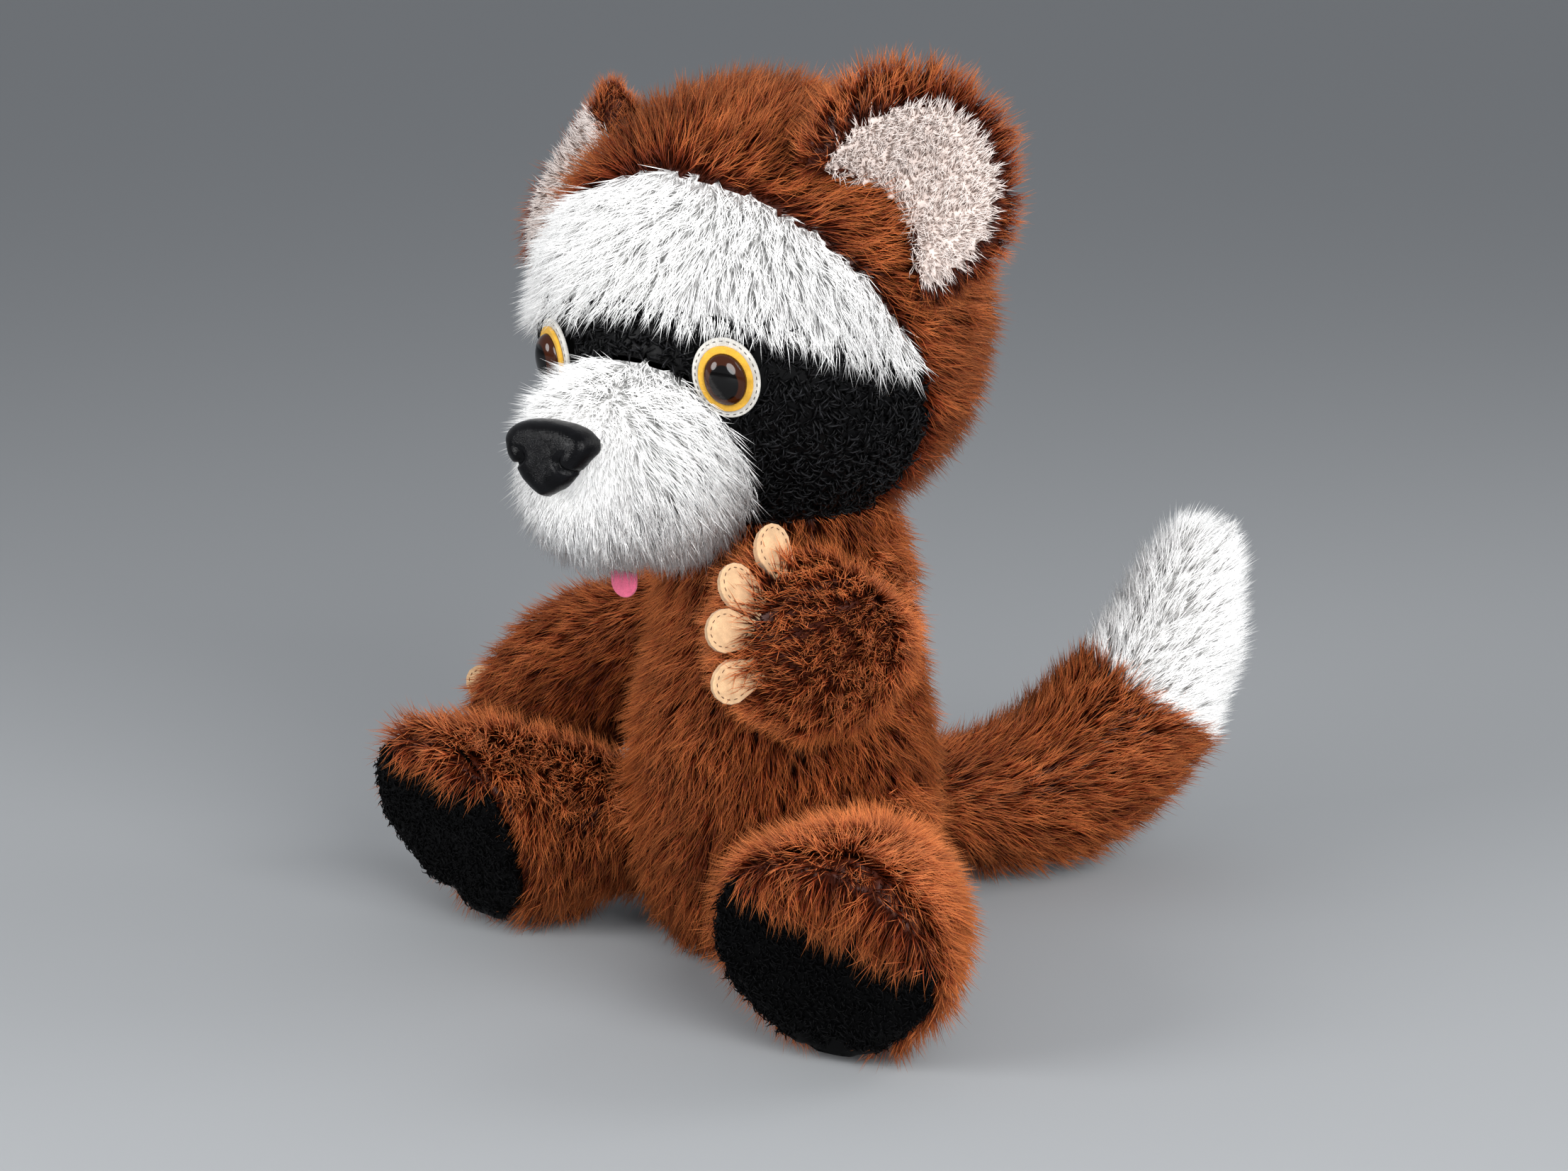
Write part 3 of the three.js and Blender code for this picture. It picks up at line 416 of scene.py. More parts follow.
def eye_material():
    """Brown plastic with a black pupil under a clear gloss."""
    material, tree, shader = new_material("Eye plastic")
    spot = place(tree, "ShaderNodeAttribute", {"attribute_name": "iris"})
    soft = {"interpolation_type": "SMOOTHSTEP"}
    edge = ranged(tree, spot.outputs["Fac"], soft, From_Min=0.64, From_Max=0.70)
    mix = mixed(tree, edge, rgba(colours().pupil), rgba(colours().iris))
    feed(tree, shader, {
        "Base Color": mix, "Roughness": 0.10, "Specular IOR Level": 0.18, "Coat Weight": 0.22, "Coat Roughness": 0.02})
    return material


def thread_material(name, tint):
    """Twisted sewing thread."""
    material, tree, shader = new_material(name)
    shade = ranged(tree, noise(tree, Scale=2500.0), To_Min=0.7, To_Max=1.3)
    feed(tree, shader, {"Base Color": shaded(tree, shade, rgba(tint)), "Roughness": 0.7})
    return material


def washer_material():
    """Moulded white plastic."""
    material, tree, shader = new_material("Washer plastic")
    gloss = ranged(tree, noise(tree, Scale=300.0), To_Min=0.4, To_Max=0.6)
    feed(tree, shader, {"Base Color": rgba(colours().washer), "Roughness": gloss})
    return material


# Meshes: the least length to divide by, and the pressure and time of the stuffing
TINY = 1e-9
STUFFING_PRESSURE = 4.0
STUFFING_FRAMES = 20


def rows_of(items, key):
    flat = np.empty(len(items) * 3, np.float32)
    items.foreach_get(key, flat)
    return flat.reshape(-1, 3).astype(float)


def points_of(mesh):
    return rows_of(mesh.vertices, "co")


def normals_of(mesh):
    return rows_of(mesh.vertex_normals, "vector")


def surface(piece):
    """The points of a piece and their normals."""
    return points_of(piece.data), normals_of(piece.data)


def move_points(mesh, points):
    mesh.vertices.foreach_set("co", np.asarray(points, np.float32).ravel())
    mesh.update()


def unit(rows):
    return rows / np.maximum(np.linalg.norm(rows, axis=-1, keepdims=True), TINY)


def new_piece(name, bm):
    """A piece from a bmesh, which is used up."""
    mesh = bpy.data.meshes.new(name)
    bm.to_mesh(mesh)
    bm.free()
    piece = bpy.data.objects.new(name, mesh)
    bpy.context.scene.collection.objects.link(piece)
    return piece


def bmesh_of(*meshes):
    """One bmesh of some meshes."""
    bm = bmesh.new()
    for mesh in meshes:
        bm.from_mesh(mesh)
    return bm


def copy_of_nodes(nodes):
    """A bmesh of merged copies of frame nodes."""
    bm = bmesh_of(*(frame["nodes"][node].data for node in nodes))
    bmesh.ops.remove_doubles(bm, verts=bm.verts, dist=1e-5)
    return bm


def tree_of(nodes):
    """A search tree of frame nodes."""
    bm = copy_of_nodes(nodes)
    tree = BVHTree.FromBMesh(bm)
    bm.free()
    return tree


def settle(piece):
    """Applies a piece's modifiers to its mesh."""
    depsgraph = bpy.context.evaluated_depsgraph_get()
    mesh = bpy.data.meshes.new_from_object(
        piece.evaluated_get(depsgraph), preserve_all_data_layers=True, depsgraph=depsgraph
    )
    piece.modifiers.clear()
    old = piece.data
    piece.data = mesh
    bpy.data.meshes.remove(old)
    mesh.name = piece.name


def smooth(piece, rounds):
    bm = bmesh_of(piece.data)
    for _ in range(rounds):
        bmesh.ops.smooth_vert(bm, verts=bm.verts, factor=0.5, use_axis_x=True, use_axis_y=True, use_axis_z=True)
    bm.to_mesh(piece.data)
    bm.free()
    piece.data.update()


def stuff(piece, puff):
    """Presses the cover out from inside, as stuffing does, by no more than puff."""
    scene = bpy.context.scene
    before = points_of(piece.data)
    cloth = piece.modifiers.new("Stuffing", "CLOTH")
    cloth.settings.use_pressure = True
    cloth.settings.uniform_pressure_force = STUFFING_PRESSURE
    cloth.settings.effector_weights.gravity = 0.0
    cloth.point_cache.frame_start = 1
    cloth.point_cache.frame_end = STUFFING_FRAMES
    for step in range(1, STUFFING_FRAMES + 1):
        scene.frame_set(step)
    settle(piece)
    shift = points_of(piece.data) - before
    reach = np.linalg.norm(shift, axis=1, keepdims=True)
    move_points(piece.data, before + shift * np.minimum(1.0, puff / np.maximum(reach, TINY)))
    scene.frame_set(1)


def rebuilt_form(name, nodes, voxel, rounds):
    """One closed, rounded form from frame nodes."""
    piece = new_piece(name, copy_of_nodes(nodes))
    remesh = piece.modifiers.new("Rebuild", "REMESH")
    remesh.mode = "VOXEL"
    remesh.voxel_size = voxel
    settle(piece)
    smooth(piece, rounds)
    return piece


def stuffed_form(name, nodes, voxel=None, rounds=3):
    """One closed form from a cover and its stuffing."""
    piece = rebuilt_form(name, nodes, voxel or sizes().voxel, rounds)
    stuff(piece, sizes().puff)
    return piece


def edge_ends(mesh):
    ends = np.empty(len(mesh.edges) * 2, np.int32)
    mesh.edges.foreach_get("vertices", ends)
    return ends.reshape(-1, 2).T


def softened(mesh, values, rounds=3):
    """Values at the points of a mesh, each drawn towards those beside it."""
    first, second = edge_ends(mesh)
    count = len(values)
    beside = np.maximum(np.bincount(first, None, count) + np.bincount(second, None, count), 1)
    for _ in range(rounds):
        total = np.bincount(first, values[second], count) + np.bincount(second, values[first], count)
        values = (values + total / beside) / 2.0
    return values


def widened(mesh, shown, rows=3):
    """The skin that shows and some rows more, so that pile hides the seam."""
    first, second = edge_ends(mesh)
    for _ in range(rows):
        wider = shown.copy()
        np.maximum.at(wider, first, shown[second])
        np.maximum.at(wider, second, shown[first])
        shown = wider
    return shown


def sink(piece, depth, shown):
    """Moves the skin that shows in under its pile, but not up off the floor."""
    points, normals = surface(piece)
    on_floor = (points[:, 2] < SEAT_LEVEL) & (normals[:, 2] < FACING_DOWN)
    moved = points - normals * depth * softened(piece.data, shown)[:, None]
    moved[on_floor, 2] = points[on_floor, 2]
    move_points(piece.data, moved)


# Pile: strands strewn over a skin, combed, tufted and joined to it

PILE_INPUTS = (
    ("Skin", "NodeSocketGeometry"),
    ("Strand", "NodeSocketObject"),
    ("Undercoat", "NodeSocketObject"),
    ("Density", "NodeSocketFloat"),
    ("Length", "NodeSocketFloat"),
    ("Spread", "NodeSocketFloat"),
    ("Lean", "NodeSocketFloat"),
    ("Wave", "NodeSocketFloat"),
    ("Clump", "NodeSocketFloat"),
    ("Clump scale", "NodeSocketFloat"),
    ("Jitter", "NodeSocketFloat"),
    ("Seed", "NodeSocketInt"),
    ("Material", "NodeSocketMaterial"),
)


def stored(tree, name, kind="FLOAT"):
    """A value stored on the geometry."""
    made = place(tree, "GeometryNodeInputNamedAttribute", {"data_type": kind}, {"Name": name})
    return live(made.outputs, "Attribute")


def by_chance(tree, given, kind, **limits):
    """A random value for each strand."""
    made = place(tree, "FunctionNodeRandomValue", {"data_type": kind}, {**limits, "Seed": given["Seed"]})
    return live(made.outputs, "Value")


def pile_tree():
    """The node tree that grows a pile on a skin."""
    tree = bpy.data.node_groups.get("Pile")
    if tree:
        return tree
    tree = bpy.data.node_groups.new("Pile", "GeometryNodeTree")
    start, end = group_sockets(tree, PILE_INPUTS, [("Plush", "NodeSocketGeometry")])
    given = start.outputs
    thick = maths(tree, "MULTIPLY", stored(tree, "pile"), given["Density"])
    strewn = place(tree, "GeometryNodeDistributePointsOnFaces", {"distribute_method": "RANDOM"}, {
        "Mesh": given["Skin"], "Density": thick, "Seed": given["Seed"]})

    spot = place(tree, "GeometryNodeInputPosition").outputs[0]
    wave = place(tree, "ShaderNodeTexNoise", None, {"Vector": spot, "Scale": WAVE_SCALE, "Detail": 2.0})
    level = vectors(tree, "SUBTRACT", live(wave.outputs, "Color"), (0.5, 0.5, 0.5))
    waves = vectors(tree, "SCALE", level, given["Wave"])
    cell = place(tree, "ShaderNodeTexVoronoi", {"feature": "F1"}, {"Vector": spot, "Scale": given["Clump scale"]})
    drawn = vectors(tree, "SUBTRACT", live(cell.outputs, "Position"), spot)
    clump = vectors(tree, "SCALE", drawn, maths(tree, "DIVIDE", given["Clump"], given["Length"]))
    tuft = vectors(tree, "ADD", waves, clump)
    chance = by_chance(tree, given, "FLOAT_VECTOR", Min=(-1.0, -1.0, -1.0), Max=(1.0, 1.0, 1.0))
    stray = vectors(tree, "SCALE", chance, given["Jitter"])
    combed = vectors(tree, "SCALE", stored(tree, "comb", "FLOAT_VECTOR"), given["Lean"])
    sway = vectors(tree, "ADD", vectors(tree, "ADD", combed, tuft), stray)
    stand = vectors(tree, "ADD", strewn.outputs["Normal"], sway)
    upright = place(tree, "FunctionNodeAlignRotationToVector", {"axis": "Z"}, {"Vector": stand})
    turned = place(tree, "FunctionNodeAlignRotationToVector", {"axis": "X", "pivot_axis": "Z"}, {
        "Rotation": upright.outputs[0], "Vector": sway})

    shortest = maths(tree, "SUBTRACT", 1.0, given["Spread"])
    longest = maths(tree, "ADD", 1.0, given["Spread"])
    ratio = by_chance(tree, given, "FLOAT", Min=shortest, Max=longest)
    tall = maths(tree, "MULTIPLY", ratio, maths(tree, "MULTIPLY", stored(tree, "growth"), given["Length"]))
    over = place(tree, "GeometryNodeObjectInfo", None, {"Object": given["Strand"], "As Instance": True})
    under = place(tree, "GeometryNodeObjectInfo", None, {"Object": given["Undercoat"], "As Instance": True})
    kinds = place(tree, "GeometryNodeJoinGeometry")
    tree.links.new(under.outputs["Geometry"], kinds.inputs[0])
    tree.links.new(over.outputs["Geometry"], kinds.inputs[0])
    sown = place(tree, "GeometryNodeInstanceOnPoints", None, {
        "Points": strewn.outputs["Points"],
        "Instance": kinds.outputs[0],
        "Pick Instance": True,
        "Instance Index": by_chance(tree, given, "BOOLEAN", Probability=PLAIN_SHARE),
        "Rotation": turned.outputs[0],
        "Scale": tall})

    hue = place(tree, "ShaderNodeSeparateXYZ", None, {"Vector": live(cell.outputs, "Color")})
    blend = mixed(tree, 0.5, by_chance(tree, given, "FLOAT"), hue.outputs["X"], "FLOAT")
    toned = place(tree, "GeometryNodeStoreNamedAttribute", {"data_type": "FLOAT", "domain": "INSTANCE"}, {
        "Geometry": sown.outputs["Instances"], "Name": "tone", "Value": blend})
    real = place(tree, "GeometryNodeRealizeInstances", None, {"Geometry": toned.outputs["Geometry"]})
    joined = place(tree, "GeometryNodeJoinGeometry")
    tree.links.new(real.outputs["Geometry"], joined.inputs[0])
    tree.links.new(given["Skin"], joined.inputs[0])

    pair = place(tree, "ShaderNodeCombineXYZ", None, {"X": stored(tree, "tone"), "Y": stored(tree, "reach")})
    mapped = place(tree, "GeometryNodeStoreNamedAttribute", {"data_type": "FLOAT2", "domain": "CORNER"}, {
        "Geometry": joined.outputs[0], "Name": BAKE_MAP, "Value": pair.outputs[0]})
    rounded = place(tree, "GeometryNodeSetShadeSmooth", None, {"Geometry": mapped.outputs["Geometry"]})
    dressed = place(tree, "GeometryNodeSetMaterial", None, {
        "Geometry": rounded.outputs[0], "Material": given["Material"]})
    tree.links.new(dressed.outputs[0], end.inputs["Plush"])
    return tree


# Strands: thickness, bend, cuts along the length, and how full they are halfway up
STRANDS = {
    "strand_long": (0.014, 1.0, 1, 1.5),
    "strand_plain": (0.019, 0.25, 0, 1.0),
    "strand_curl": (0.085, 2.2, 2, 1.3),
    "strand_soft": (0.032, 0.9, 1, 1.5),
    "strand_fine": (0.045, 0.25, 0, 1.0),
}
LONG_STRANDS = ("strand_long", "strand_plain")
CURL_STRANDS = ("strand_curl", "strand_curl")
SOFT_STRANDS = ("strand_soft", "strand_fine")


def strand(name):
    """A tapering strand one unit tall that bows over towards +X, thickest below its middle."""
    found = bpy.data.objects.get(name)
    if found:
        return found
    radius, bend, cuts, fullness = STRANDS[name]
    bm = bmesh.new()
    bmesh.ops.create_cone(
        bm, cap_ends=True, segments=3, radius1=radius, radius2=radius * 0.01, depth=1.0,
        matrix=Matrix.Translation((0.0, 0.0, 0.5)),
    )
    bmesh.ops.remove_doubles(bm, verts=bm.verts, dist=radius * 0.1)
    if cuts:
        risers = [e for e in bm.edges if abs(e.verts[0].co.z - e.verts[1].co.z) > 0.5]
        bmesh.ops.subdivide_edges(bm, edges=risers, cuts=cuts, use_grid_fill=False)
    reach = [v.co.z for v in bm.verts]
    for vert, share in zip(bm.verts, reach):
        swell = fullness if 0.05 < share < 0.95 else 1.0
        angle = bend * share
        out = (1.0 - math.cos(angle)) / bend
        rise = math.sin(angle) / bend
        x, y = vert.co.x * swell, vert.co.y * swell
        vert.co = Vector((x * math.cos(angle) + out, y, rise - x * math.sin(angle)))
    made = new_piece(name, bm)
    along = made.data.attributes.new("reach", "FLOAT", "POINT")
    along.data.foreach_set("value", np.array(reach, np.float32))
    return made


def least_of_corners(mesh, values):
    """For each face the least of the values at its corners."""
    corners = np.empty(len(mesh.loops), np.int32)
    starts = np.empty(len(mesh.polygons), np.int32)
    mesh.loops.foreach_get("vertex_index", corners)
    mesh.polygons.foreach_get("loop_start", starts)
    return np.minimum.reduceat(values[corners], starts)


def with_backing(values, count):
    """The values of a skin, and none for the points of its backing."""
    return np.concatenate([values, np.zeros((count - len(values), *values.shape[1:]))])


def grow_pile(piece, material, strands, seed, comb, here, growth=None, **pile):
    """Strews combed strands over the faces of the skin where here is 1, to the growth given."""
    mesh = piece.data
    count = len(mesh.vertices)
    growth = np.ones(len(here)) if growth is None else growth
    fields = (
        ("comb", "FLOAT_VECTOR", "POINT", "vector", with_backing(comb, count)),
        ("pile", "FLOAT", "FACE", "value", least_of_corners(mesh, with_backing(here, count))),
        ("growth", "FLOAT", "POINT", "value", with_backing(growth, count)),
        # The skin sits low on the pile's colours, partly in the painted shade of the roots
        ("reach", "FLOAT", "POINT", "value", np.full(count, SKIN_SHADE_REACH)),
    )
    for name, kind, domain, key, values in fields:
        field = mesh.attributes.new(name, kind, domain)
        field.data.foreach_set(key, np.asarray(values, np.float32).ravel())
    grow = piece.modifiers.new("Pile", "NODES")
    grow.node_group = pile_tree()
    over, under = (strand(name) for name in strands)
    given = dict(Strand=over, Undercoat=under, Seed=seed, Material=material, **pile)
    for item in grow.node_group.interface.items_tree:
        key = item.name.replace(" ", "_")
        if key in given:
            grow[item.identifier] = given[key]
    settle(piece)
    for name in ("comb", "pile", "growth", "tone", "reach"):
        spare = piece.data.attributes.get(name)
        if spare:
            piece.data.attributes.remove(spare)
    points = points_of(piece.data)
    points[:, 2] = np.maximum(points[:, 2], FLOOR_GAP)
    move_points(piece.data, points)


def across(normals, direction):
    """The part of a direction that lies in the surface."""
    direction = np.broadcast_to(np.asarray(direction, float), normals.shape)
    return direction - normals * np.sum(direction * normals, axis=1, keepdims=True)


# Piles: strands to the square metre, how their lengths differ, and how they lean, wave, clump and stray
LONG = dict(Density=690000.0, Spread=0.28, Lean=0.8, Wave=1.4, Clump=0.95, Clump_scale=135.0, Jitter=0.28)
HOOD = dict(LONG, Lean=0.65)
SHAGGY = dict(Density=920000.0, Spread=0.25, Lean=0.85, Wave=1.1, Clump=1.1, Clump_scale=140.0, Jitter=0.25)
SHORT = dict(Density=900000.0, Spread=0.25, Lean=0.5, Wave=1.2, Clump=1.0, Clump_scale=200.0, Jitter=0.35)
CURLED = dict(Density=300000.0, Spread=0.3, Lean=0.2, Wave=1.0, Clump=0.5, Clump_scale=160.0, Jitter=1.3)
VELVET = dict(Density=360000.0, Spread=0.3, Lean=0.5, Wave=1.0, Clump=0.4, Clump_scale=160.0, Jitter=0.8)

# Pile: how close its waves are, the share of plain strands, where from root to tip the skin under it is coloured
# (partly in the roots' painted shade), how much of it hidden skin carries, and how near a piece or a sole lies
# that covers skin
WAVE_SCALE = 45.0
PLAIN_SHARE = 0.65
SKIN_SHADE_REACH = 0.3
HIDDEN_SHARE = 0.55
TOUCH = 0.006
SOLE_REACH = 0.014

# Floor: up to which height skin that faces down rests on it or is bare, and the gap that pile keeps above it
FACING_DOWN = -0.5
SEAT_LEVEL = 0.012
BARE_LEVEL = 0.01
FLOOR_GAP = 0.0004

# Seeds of the piles, the first of each kind of piece
SEEDS = {"body": 11, "head": 21, "ear_back": 31, "ear_front": 33, "arm": 41, "leg": 51, "sole": 53, "tail": 61}

# How far the skin lies in under its pile, the backings of open panels, and finer grids than the usual one
LONG_SINK = 0.0065
CURL_SINK = 0.003
EAR_SINK = 0.0015
CAP_SINK = 0.002
PANEL_BACKING = 0.002
EAR_BACKING = 0.0015
CAP_BACKING = 0.001
EAR_VOXEL = 0.0035
SOLE_VOXEL = 0.004


def dress(piece, body, slot, nodes, seed, comb, here, growth=None, strands=LONG_STRANDS, kind=None, fill=0.7, **pile):
    """Grows the pile of a stuffed piece and seats it on its body in place of its frame nodes."""
    grow_pile(piece, plush(kind or slot), strands, seed, comb, here, growth, **pile)
    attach(piece, body)
    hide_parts(*nodes)


def outside_seams(points, normals, rounds):
    """1 on the skin that shows, 0 inside the round hollows where limbs are sewn in."""
    here = np.ones(len(points))
    for name, reach in rounds.items():
        inward = joint_place(name) - points
        hollow = np.sum(inward * normals, axis=1) > 0.0
        here[hollow & (np.linalg.norm(inward, axis=1) < reach + TOUCH)] = 0.0
    return here


def not_against(points, normals, tree, reach=TOUCH):
    """1 on the skin that shows, 0 where it lies against the piece in the tree."""
    starts = points - normals * reach
    hits = (tree.ray_cast(p, n, 2.0 * reach)[0] for p, n in zip(starts, normals))
    return np.array([0.0 if hit else 1.0 for hit in hits])


def box_middle(node):
    low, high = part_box(node)
    return np.array((low + high) / 2)


def joint_place(name):
    return np.array(next(j["pos_m"] for j in frame["joints"] if j["name"] == name))


def clear_of_floor(points, normals):
    """1 on the skin, 0 where it lies on the floor."""
    return np.where((points[:, 2] < BARE_LEVEL) & (normals[:, 2] < FACING_DOWN), 0.0, 1.0)


# Body and head: radii of the hollows where limbs and neck are sewn in, rows of hidden skin that carry pile, the
# waves in the body's comb, the combs of hood and brow, and how far from eyes, nose and tongue pile is bare or short
BODY = ("torso_cover", "torso_stuffing")
BODY_SEAMS = {
    "left_shoulder": 0.029,
    "right_shoulder": 0.029,
    "left_hip": 0.040,
    "right_hip": 0.040,
    "tail_wag": 0.036,
}
NECK_SEAM = {"neck_turn": 0.058}
NECK_ROWS = 8
ARM_ROWS = 9
BODY_SWAY = 0.25
SWAY_WAVES = 70.0
HOOD_COMB = (0.0, 1.0, -0.6)
BROW_COMB = (0.0, -0.25, -1.0)
BROW_PARTING = (0.35, 0.0, 0.0)
HALF_BROW = 0.1
EYE_CLEARING = 0.0155
NOSE_CLEARING = 0.012
NOSE_SHORT = 0.040
TONGUE_SHORT = 0.030


class RACCOON_OT_body(Operator):
    """Stuffs the body and combs its pile down"""

    bl_idname = "raccoon.body"
    bl_label = "Body"

    def execute(self, context):
        piece = stuffed_form("body_plush", BODY)
        points, normals = surface(piece)
        head = tree_of((*HEAD_PANELS, "head_stuffing"))
        outside, neck = outside_seams(points, normals, BODY_SEAMS), not_against(points, normals, head)
        sink(piece, LONG_SINK, outside * neck)
        points, normals = surface(piece)
        near = widened(piece.data, outside * neck)
        far = widened(piece.data, outside) * widened(piece.data, neck, NECK_ROWS)
        here = (HIDDEN_SHARE * far + (1.0 - HIDDEN_SHARE) * near) * clear_of_floor(points, normals)
        sway = np.zeros(points.shape)
        sway[:, 0] = BODY_SWAY * np.sin(points[:, 2] * SWAY_WAVES)
        comb = unit(across(normals, DOWN + sway))
        growth = HIDDEN_SHARE + (1.0 - HIDDEN_SHARE) * near
        dress(piece, "torso", "brown_plush", BODY, SEEDS["body"], comb, here, growth, Length=sizes().long_pile, **LONG)
        return {"FINISHED"}


HEAD_PANELS = {
    "hood": "hood_plush",
    "brow_band": "brow_plush",
    "mask": "mask_plush",
    "muzzle_cover": "muzzle_plush",
}


def cut_panels(whole, names, shape=None, inset=None):
    """Cuts a stuffed form along the seams of its cover into open panels, some inset, and shapes it."""
    trees = {node: tree_of((node,)) for node in names}
    owners = []
    for face in whole.data.polygons:
        gaps = {node: tree.find_nearest(face.center)[3] for node, tree in trees.items()}
        if inset:
            gaps = {node: gap + inset(node, face.center) for node, gap in gaps.items()}
        owners.append(min(gaps, key=gaps.get))
    if shape:
        points = points_of(whole.data)
        move_points(whole.data, points + shape(points))
    panels = {}
    for node, name in names.items():
        bm = bmesh_of(whole.data)
        spare = [face for face, owner in zip(bm.faces, owners) if owner != node]
        bmesh.ops.delete(bm, geom=spare, context="FACES")
        panels[node] = new_piece(name, bm)
    bpy.data.objects.remove(whole)
    return panels


def back_panel(piece, thickness):
    """Gives an open panel its backing, so that it is a closed sheet."""
    wall = piece.modifiers.new("Backing", "SOLIDIFY")
    wall.thickness = thickness
    wall.offset = -1.0
    wall.use_even_offset = False
    settle(piece)


class RACCOON_OT_head(Operator):
    """Stuffs the head and grows the pile of its hood, brow, mask and muzzle"""

    bl_idname = "raccoon.head"
    bl_label = "Head"

    def execute(self, context):
        whole = stuffed_form("head_form", (*HEAD_PANELS, "head_stuffing"), rounds=4)
        panels = cut_panels(whole, HEAD_PANELS)
        nose = box_middle("nose")
        eyes = [eye_frame(side)[0] for side in SIDES]
        lick = box_middle("tongue")
        for seed, (node, piece) in enumerate(panels.items(), SEEDS["head"]):
            here = outside_seams(*surface(piece), NECK_SEAM)
            sink(piece, CURL_SINK if node == "mask" else LONG_SINK, here)
            points, normals = surface(piece)
            back_panel(piece, PANEL_BACKING)
            growth = np.ones(len(points))
            slot, strands, pile = "white_plush", LONG_STRANDS, dict(SHAGGY, Length=sizes().white_pile)
            if node == "hood":
                slot, pile = "brown_plush", dict(HOOD, Length=sizes().long_pile)
                comb = across(normals, HOOD_COMB)
            elif node == "brow_band":
                comb = across(normals, BROW_COMB) + points * BROW_PARTING / HALF_BROW
            elif node == "mask":
                slot, strands, pile = "black_plush", CURL_STRANDS, dict(CURLED, Length=sizes().curl_pile)
                comb = across(normals, DOWN)
                for eye in eyes:
                    here[np.linalg.norm(points - np.array(eye), axis=1) < EYE_CLEARING] = 0.0
            else:
                comb = across(normals, points - nose) + 0.3 * across(normals, DOWN)
                gap = np.linalg.norm((points - nose) * (0.8, 1.0, 1.0), axis=1)
                here[gap < NOSE_CLEARING] = 0.0
                from_tongue = np.linalg.norm(points - lick, axis=1)
                growth = np.clip(gap / NOSE_SHORT, 0.35, 1.0) * np.clip(from_tongue / TONGUE_SHORT - 0.15, 0.3, 1.0)
            nodes = (node, "head_stuffing") if node == "hood" else (node,)
            dress(piece, "head", slot, nodes, seed, unit(comb), here, growth, strands, **pile)
        return {"FINISHED"}


def ear_axes(side):
    """Middle of an ear's lining, the way it faces and the way to the crown."""
    sign = 1.0 if side == "left" else -1.0
    middle = points_of(frame["nodes"][f"{side}_ear_front"].data).mean(axis=0)
    facing = np.array((sign * math.sin(EAR_FACING), -math.cos(EAR_FACING), 0.0))
    inner = np.array((-sign * math.cos(EAR_FACING), -math.sin(EAR_FACING), 0.0))
    return middle, facing, inner


def ear_shape(points, side):
    """How an ear's cloth gives: its middle sinks in and its edge by the crown lies back."""
    ear = EARS[side]
    middle, facing, inner = ear_axes(side)
    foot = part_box(f"{side}_ear_front")[0].z
    apart = np.linalg.norm(np.cross(points - middle, facing), axis=1)
    bowl = EAR_BOWL * np.exp(-((apart / EAR_BOWL_WIDTH) ** 2))
    aside = (points - middle) @ inner / EAR_HALF
    back = ear["back"] * np.clip(aside, 0.0, 1.2) ** 2 + ear["turn"] * aside
    height = np.clip((points[:, 2] - foot) / EAR_HEIGHT, 0.0, 1.0)
    crown = 0.6 * inner + 0.8 * np.array(UP)
    curl = ear["curl"] * np.clip((points - middle) @ crown / EAR_HALF, 0.0, 1.1) ** 2
    forward, sag = curl - bowl - back, 0.7 * curl + ear["drop"] * height
    inward = ear["lean"] * height + ear["tuck"] * np.clip(-aside, 0.0, 1.2)
    return inner * inward[:, None] + facing * forward[:, None] + DOWN * sag[:, None]


def ear_rim(side):
    """How far the brown back comes round on to the front of an ear, further at its top."""
    level = ear_axes(side)[0][2]

    def reach(node, centre):
        top = min(max((centre.z - level) / EAR_HALF, 0.0), 1.0)
        return EAR_RIM + EAR_BAND * top if node.endswith("front") else 0.0

    return reach


class RACCOON_OT_ears(Operator):
    """Cups the ears, brown behind and white inside"""

    bl_idname = "raccoon.ears"
    bl_label = "Ears"

    def execute(self, context):
        for number, side in enumerate(SIDES):
            base = joint_place(f"{side}_ear_fold")
            names = {f"{side}_ear_back": f"{side}_ear_back_plush", f"{side}_ear_front": f"{side}_ear_front_plush"}
            whole = stuffed_form(f"{side}_ear_form", names, voxel=EAR_VOXEL)
            middle, facing, _ = ear_axes(side)
            rim = ear_rim(side)
            panels = cut_panels(whole, names, lambda points, side=side: ear_shape(points, side), rim)
            for node, piece in panels.items():
                sink(piece, EAR_SINK, np.ones(len(piece.data.vertices)))
                points, normals = surface(piece)
                back_panel(piece, EAR_BACKING)
                here = growth = np.ones(len(points))
                comb = unit(across(normals, points - base))
                if node.endswith("back"):
                    slot, kind, strands, seed = "brown_plush", "brown_plush", LONG_STRANDS, SEEDS["ear_back"] + number
                    pile = dict(LONG, Length=EAR_PILE * sizes().long_pile)
                    edge = np.flatnonzero(normals @ facing > EAR_EDGE)
                    comb[edge] = EDGE_COMB * unit(across(normals[edge], points[edge] - middle))
                    growth = 1.0 + EARS[side]["tuft"] * np.clip((points[:, 2] - middle[2]) / EAR_HALF, 0.0, 1.0)
                else:
                    slot, kind, strands, seed = "white_plush", "lining_plush", SOFT_STRANDS, SEEDS["ear_front"] + number
                    pile = dict(SHORT, Length=sizes().ear_pile)
                dress(piece, f"{side}_ear", slot, (node,), seed, comb, here, growth, strands, kind, fill=0.4, **pile)
        return {"FINISHED"}


